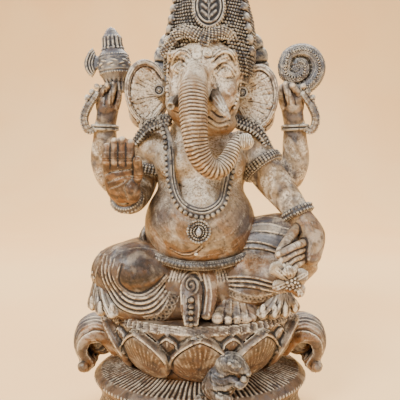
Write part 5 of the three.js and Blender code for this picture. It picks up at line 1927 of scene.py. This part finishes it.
def axe_blade():
    clay = Clay("axe_blade", TINY_STEP)
    outline = [(-86, 306), (-86, 314), (-92, 316), (-95, 323), (-99, 319), (-102, 313), (-103, 309),
               (-102, 304), (-99, 299), (-96, 297), (-92, 304)]
    clay.add(plate(clay.flat(outline), 15 - clay.home[1], 6, 2.2), 0)
    for share, height in ((-1.6, 0.9), (-4.2, 0.8), (-6.6, 0.7)):
        arc = clay.flat(((-95.5 - share, 321), (-99.4 - share, 317), (-102 - share, 309),
                         (-100.2 - share, 302), (-96.4 - share, 299)))
        for face in (-1, 1):
            seeds = curve([(x, 0, z) for x, z in arc], 0.7)
            line = clay.land(seeds, direction=(0, -face, 0))
            if len(line) > 3:
                clay.ridge(line, 0.9, height, 0.6)
                clay.groove(line + (1.3, 0, 0), 0.8, 0.7, 0.4)
    clay.skin()
    clay.tint("cool", 0.7)
    piece(clay, "slate_wash")


def coiled_noose():
    clay = Clay("coiled_noose", SMALL_STEP)
    outer = clay.route((81, 12, 285), (92, 12, 287), (101, 12, 295), (104, 12, 306), (99, 12, 316),
                       (89, 12, 320), (78, 12, 316), (74, 12, 306))
    inner = clay.route((75, 12, 310), (75, 12, 300), (83, 12, 296), (91, 12, 300), (91, 12, 308),
                       (86, 12, 310))
    clay.add(limb(outer, [5.2, 5.8, 6.4, 6.6, 6.4, 6, 5.6, 5.4], spacing=1.5), 0)
    clay.add(limb(inner, [5.4, 5.2, 5.0, 4.8, 4.6, 4.2], spacing=1.5), 0.8)
    clay.add(ball(clay.at(86, 12, 304), (11, 3.4, 10)), 1.5)
    route = curve(outer, 0.6)
    coil = curve(inner, 0.6)
    along, offset = clay.wrap(np.vstack([route, coil[6:]]))
    across = np.hypot(offset[:, 0], offset[:, 2])
    cord = np.cos(along * 2.6) * np.cos(across * 2.4 + offset[:, 1] * 1.5)
    clay.lift(0.6 * cord)
    clay.tint("pale", mixed(cord * 1.6 - 0.1) * 0.7)
    clay.tint("dark", mixed(-cord * 1.5) * 0.5)
    for path in (route, coil):
        side = sideways(path)
        for face in (-1, 1):
            for share in (-3.4, 3.4):
                line = clay.land(path + side * share, direction=(0, -face, 0))
                if len(line) > 3:
                    clay.ridge(line, 0.8, 0.9, 0.55)
            line = clay.land(path, direction=(0, -face, 0))
            clay.beads(line, 0.95, 2.5)
    hub = clay.at(82, 12, 287)
    for face in (-1, 1):
        spot = clay.land([hub], direction=(0, -face, 0))
        if len(spot):
            clay.add(ball(spot[0], (3.2, 1.6, 3.2)), 0.4)
            clay.groove(circle(spot[0] + (0, face * 1.0, 0), spot[0] + (0, face * 2, 0), 2.0), 0.7, 0.8,
                        0.6)
    x, y, z = clay.skin()
    clay.tint("cool", 0.7)
    clay.tint("dark", mixed(noise(x, y, z, 7, 5) * 2) * 0.4)
    piece(clay, "slate_wash")


def ribbon(node, mirrored):
    clay = Clay(node, TINY_STEP, mirrored=mirrored)
    route = clay.route((88, 11, 256), (98, 8, 250), (102, 8, 260), (98, 7, 271), (91, 6, 281))
    clay.add(limb(route, [2.6, 3.0, 3.4, 3.6, 3.2], spacing=1.2, side=(0.4, 1, 0.3), widen=1.35), 0)
    for at, r in (((98, 5, 278), 2.9), ((94, 5, 283), 2.7), ((90, 5, 288), 2.4)):
        clay.add(ball(clay.at(*at), r), 0.5)
    path = curve(route, 0.5)
    along, offset = clay.wrap(path)
    scallop = np.abs(np.sin(along * math.pi / 4.4))
    clay.lift(0.2 * scallop)
    clay.tint("pale", 0.12 * scallop**2)
    clay.tint("cool", mixed(noise(along, offset[:, 0], offset[:, 2], 9, 3) * 2) * 0.7)
    clay.tint("dark", mixed(noise(along, offset[:, 0], offset[:, 2], 5, 3) * 2) * 0.4)
    side = sideways(path)
    for reach, size in ((-2.6, 1.1), (2.4, 0.8)):
        edge = clay.land(path + side * reach)
        if len(edge) > 3:
            clay.paint("dark", edge, 1.8, 0.6)
            clay.beads(edge, size, size * 2.2)
    piece(clay, "pale_highlight")


def flower():
    clay = Clay("flower", cell(0.4))
    heart = clay.at(70, -54, 131)
    clay.add(ball(heart, (8.6, 7, 9.6)), 0)
    petals = clay.route((58, -58, 142), (68, -61, 140), (79, -56, 136), (60, -58, 127), (77, -55, 123))
    for tip in petals:
        way = tip - heart
        way[1] = 0
        way /= np.linalg.norm(way)
        side = np.array([-way[2], 0, way[0]])
        outer = tip + way * 3.4
        clay.add(limb([heart + way * 3 + (0, -4, 0), tip + (0, -0.6, 0), outer + (0, -1.4, 0)],
                      [2.4, 3.0, 1.4], side=side, widen=[1.4, 2.0, 1.1], spacing=1), 0.4)
    for tip in petals:
        way = tip - heart
        way[1] = 0
        way /= np.linalg.norm(way)
        side = np.array([-way[2], 0, way[0]])
        spine = clay.land([heart + way * t for t in np.arange(5, 16, 0.6)])
        if len(spine) > 3:
            clay.groove(spine, 0.9, 0.9, 0.6)
            clay.paint("pale", spine[len(spine) // 3:], 2.2, 0.8)
            for off in (-2.2, 2.2):
                clay.groove(clay.land(spine + side * off), 0.6, 0.5, 0.1)
    for k in range(14):
        a, r = k * 2.4, 1.5 * math.sqrt(k)
        clay.studs(clay.land([heart + (r * math.cos(a) + 1, 0, r * math.sin(a) - 2)]), 1.15)
    for k in range(3):
        leaf = clay.land([heart + (6 + 2.5 * k, 0, -8 - t - 2 * k) for t in np.arange(0, 5, 0.6)])
        clay.ridge(leaf, 1.6, 1.0, 0.6)
    x, y, z = clay.skin()
    low = mixed((heart[2] - 1 - z) / 6)
    clay.tint("warm", low * 0.8)
    clay.tint("dark", low * mixed(noise(x, y, z, 5, 3) + 0.6) * 0.6)
    clay.tint("cool", (1 - low) * mixed(noise(x, y, z, 9, 5) * 1.6) * 0.6)
    piece(clay, "pale_highlight")


plinth()
lotus_seat()
scroll_leaf("scroll_leaf_left", False)
scroll_leaf("scroll_leaf_right", True)
mouse()
hips()
right_leg()
left_leg()
left_foot()
sash()
hem_pleats("hem_pleats_left", (68, -36, 124), ((50, -46, 97), (59, -46, 97), (68, -43, 97), (77, -37, 99)),
           1.2)
hem_pleats("hem_pleats_right", (-86, -22, 128), ((-70, -47, 98), (-80, -41, 98), (-89, -30, 99)), 1.2)
torso()
belt()
necklace()
belly_jewel()
belly_stone()
navel_pearl()
shoulder_ornament("shoulder_ornament_right", ((-28, -14, 257), (-42, -12, 252), (-54, -5, 240)))
shoulder_ornament("shoulder_ornament_left", ((30, -14, 257), (47, -12, 249), (59, -6, 233)))
head()
trunk()
tusk("tusk_right", ((-16, -30, 272), (-20, -46, 269), (-22, -54, 265)), [5, 4.4, 3.2], True)
tusk("tusk_left", ((10, -32, 277), (14, -48, 269), (18, -57, 261), (21, -60, 256)), [5.4, 4.8, 3.4, 1.6],
     False)
ear("ear_right", (-45, -5, 280), (0, math.degrees(-0.1), math.degrees(0.2)), -1)
ear("ear_left", (48, -5, 276), (0, math.degrees(0.12), math.degrees(-0.2)), 1)
ear_stud("ear_stud_right", (-34, -11, 282))
ear_stud("ear_stud_left", (35, -11, 280))
crown()
crown_finial()
crown_medallion()
forehead_band()
halo_fan()
sweet()
arm("front_right_arm", ((-40, 3, 236), (-49, 5, 219), (-52, 2, 203), (-55, -12, 194), (-58, -28, 191),
                        (-60, -40, 197)), [17, 15, 13, 12, 11, 9])
arm("front_left_arm", ((42, 1, 238), (51, -7, 222), (63, -14, 205), (74, -20, 191), (84, -26, 176)),
    [17, 15.5, 14, 12, 10])
REAR_ARM = ((38, 14, 236), (60, 21, 216), (78, 23, 205), (87, 21, 222), (86, 17, 242), (85, 15, 257))
REAR_ARM_SIZES = [15, 14, 13, 12.5, 10.5, 9]
arm("rear_left_arm", REAR_ARM, REAR_ARM_SIZES, creases=(54, 56.5))
arm("rear_right_arm", REAR_ARM, REAR_ARM_SIZES, mirrored=True, creases=(54, 56.5))
front_right_hand()
front_left_hand()
rear_hand("rear_left_hand", False, "antiqued_body")
rear_hand("rear_right_hand", True, "umber_wash")
band("front_right_armlet", (-47, 4, 218), (-50, 5, 205), 15, 5, 3.4)
band("front_left_armlet", (53, -8, 219), (63, -14, 205), 15.2, 5, 3.4)
band("front_right_bangle", (-59, -34, 193), (-60, -43, 200), 10, 3.5, 3.5, rows=1)
band("front_left_bangle", (81, -24, 181), (85, -27, 172), 10, 4, 3.5, rows=2)
band("rear_left_bangle", (85.5, 15.5, 253), (85, 15, 264), 9.5, 3, 3.2, plain=True)
band("rear_right_bangle", (85.5, 15.5, 253), (85, 15, 264), 9.5, 3, 3.2, mirrored=True, plain=True)
axe_head()
axe_blade()
coiled_noose()
ribbon("rear_left_ribbon", False)
ribbon("rear_right_ribbon", True)
flower()
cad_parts["felt_pad"].material_slots[0].material = felt()
write_relief()


# ---- Stage ----

def matte(name, base, other, size):
    """A pale painted surface with a faint unevenness."""
    s = Shader(name)
    s.plug(s.blend(linear(*base), linear(*other), s.step(s.cloud(size, 3), 0.35, 0.65)),
           s.shader.inputs["Base Color"])
    s.shader.inputs["Roughness"].default_value = 0.7
    return s.material


def sweep():
    """The floor, and the paper behind that curves up from it."""
    low, high = (np.array(v) for v in CAD_BOX)
    reach, bend = 3.0, 0.7
    back = high[1] + 0.9
    profile = [(-reach, low[2]), (back, low[2])]
    for k in range(1, 13):
        a = math.radians(90 * k / 12)
        profile.append((back + bend * math.sin(a), low[2] + bend * (1 - math.cos(a))))
    profile.append((back + bend, low[2] + 4.0))
    mesh = bpy.data.meshes.new("paper")
    points = [(x, y, z) for y, z in profile for x in (-4.0, 4.0)]
    faces = [(2 * k, 2 * k + 1, 2 * k + 3, 2 * k + 2) for k in range(len(profile) - 1)]
    mesh.from_pydata(points, [], faces)
    mesh.shade_smooth()
    mesh.materials.append(matte("paper", (255, 217, 158), (254, 210, 148), 3.0))
    floor = bpy.data.objects.new("paper", mesh)
    bpy.context.collection.objects.link(floor)


def light(name, place, size, power, tint):
    data = bpy.data.lights.new(name, "AREA")
    data.shape = "RECTANGLE"
    data.size, data.size_y = size
    data.energy = power
    data.color = tint
    lamp = bpy.data.objects.new(name, data)
    lamp.location = place
    aim = Vector((0, 0, (CAD_BOX[0][2] + CAD_BOX[1][2]) / 2)) - Vector(place)
    lamp.rotation_euler = aim.to_track_quat("-Z", "Y").to_euler()
    bpy.context.collection.objects.link(lamp)


def camera():
    """Just under half a metre in front, a little above the middle, looking down by 5 degrees."""
    data = bpy.data.cameras.new("camera")
    data.sensor_width = 36
    data.lens = 43.47
    data.clip_start = 0.01
    made = bpy.data.objects.new("camera", data)
    made.location = (0, -0.423, 0.226)
    made.rotation_euler = (math.radians(85), 0, 0)
    bpy.context.collection.objects.link(made)
    bpy.context.scene.camera = made


sweep()
camera()
light("key", (-0.7, -1.1, 1.25), (0.5, 0.5), 27, (1.0, 0.98, 0.94))
light("fill", (1.2, -0.9, 0.7), (1.2, 1.2), 7, (1.0, 0.97, 0.94))
light("top", (0.1, 0.5, 1.5), (1.2, 0.8), 12, (1.0, 0.96, 0.9))
light("paper", (0.0, 1.0, 1.6), (3.0, 0.8), 72, (1.0, 0.9, 0.78))
world = bpy.data.worlds.new("studio")
world.use_nodes = True
world.node_tree.nodes["Background"].inputs["Color"].default_value = (0.92, 0.86, 0.78, 1)
world.node_tree.nodes["Background"].inputs["Strength"].default_value = 0.34
bpy.context.scene.world = world
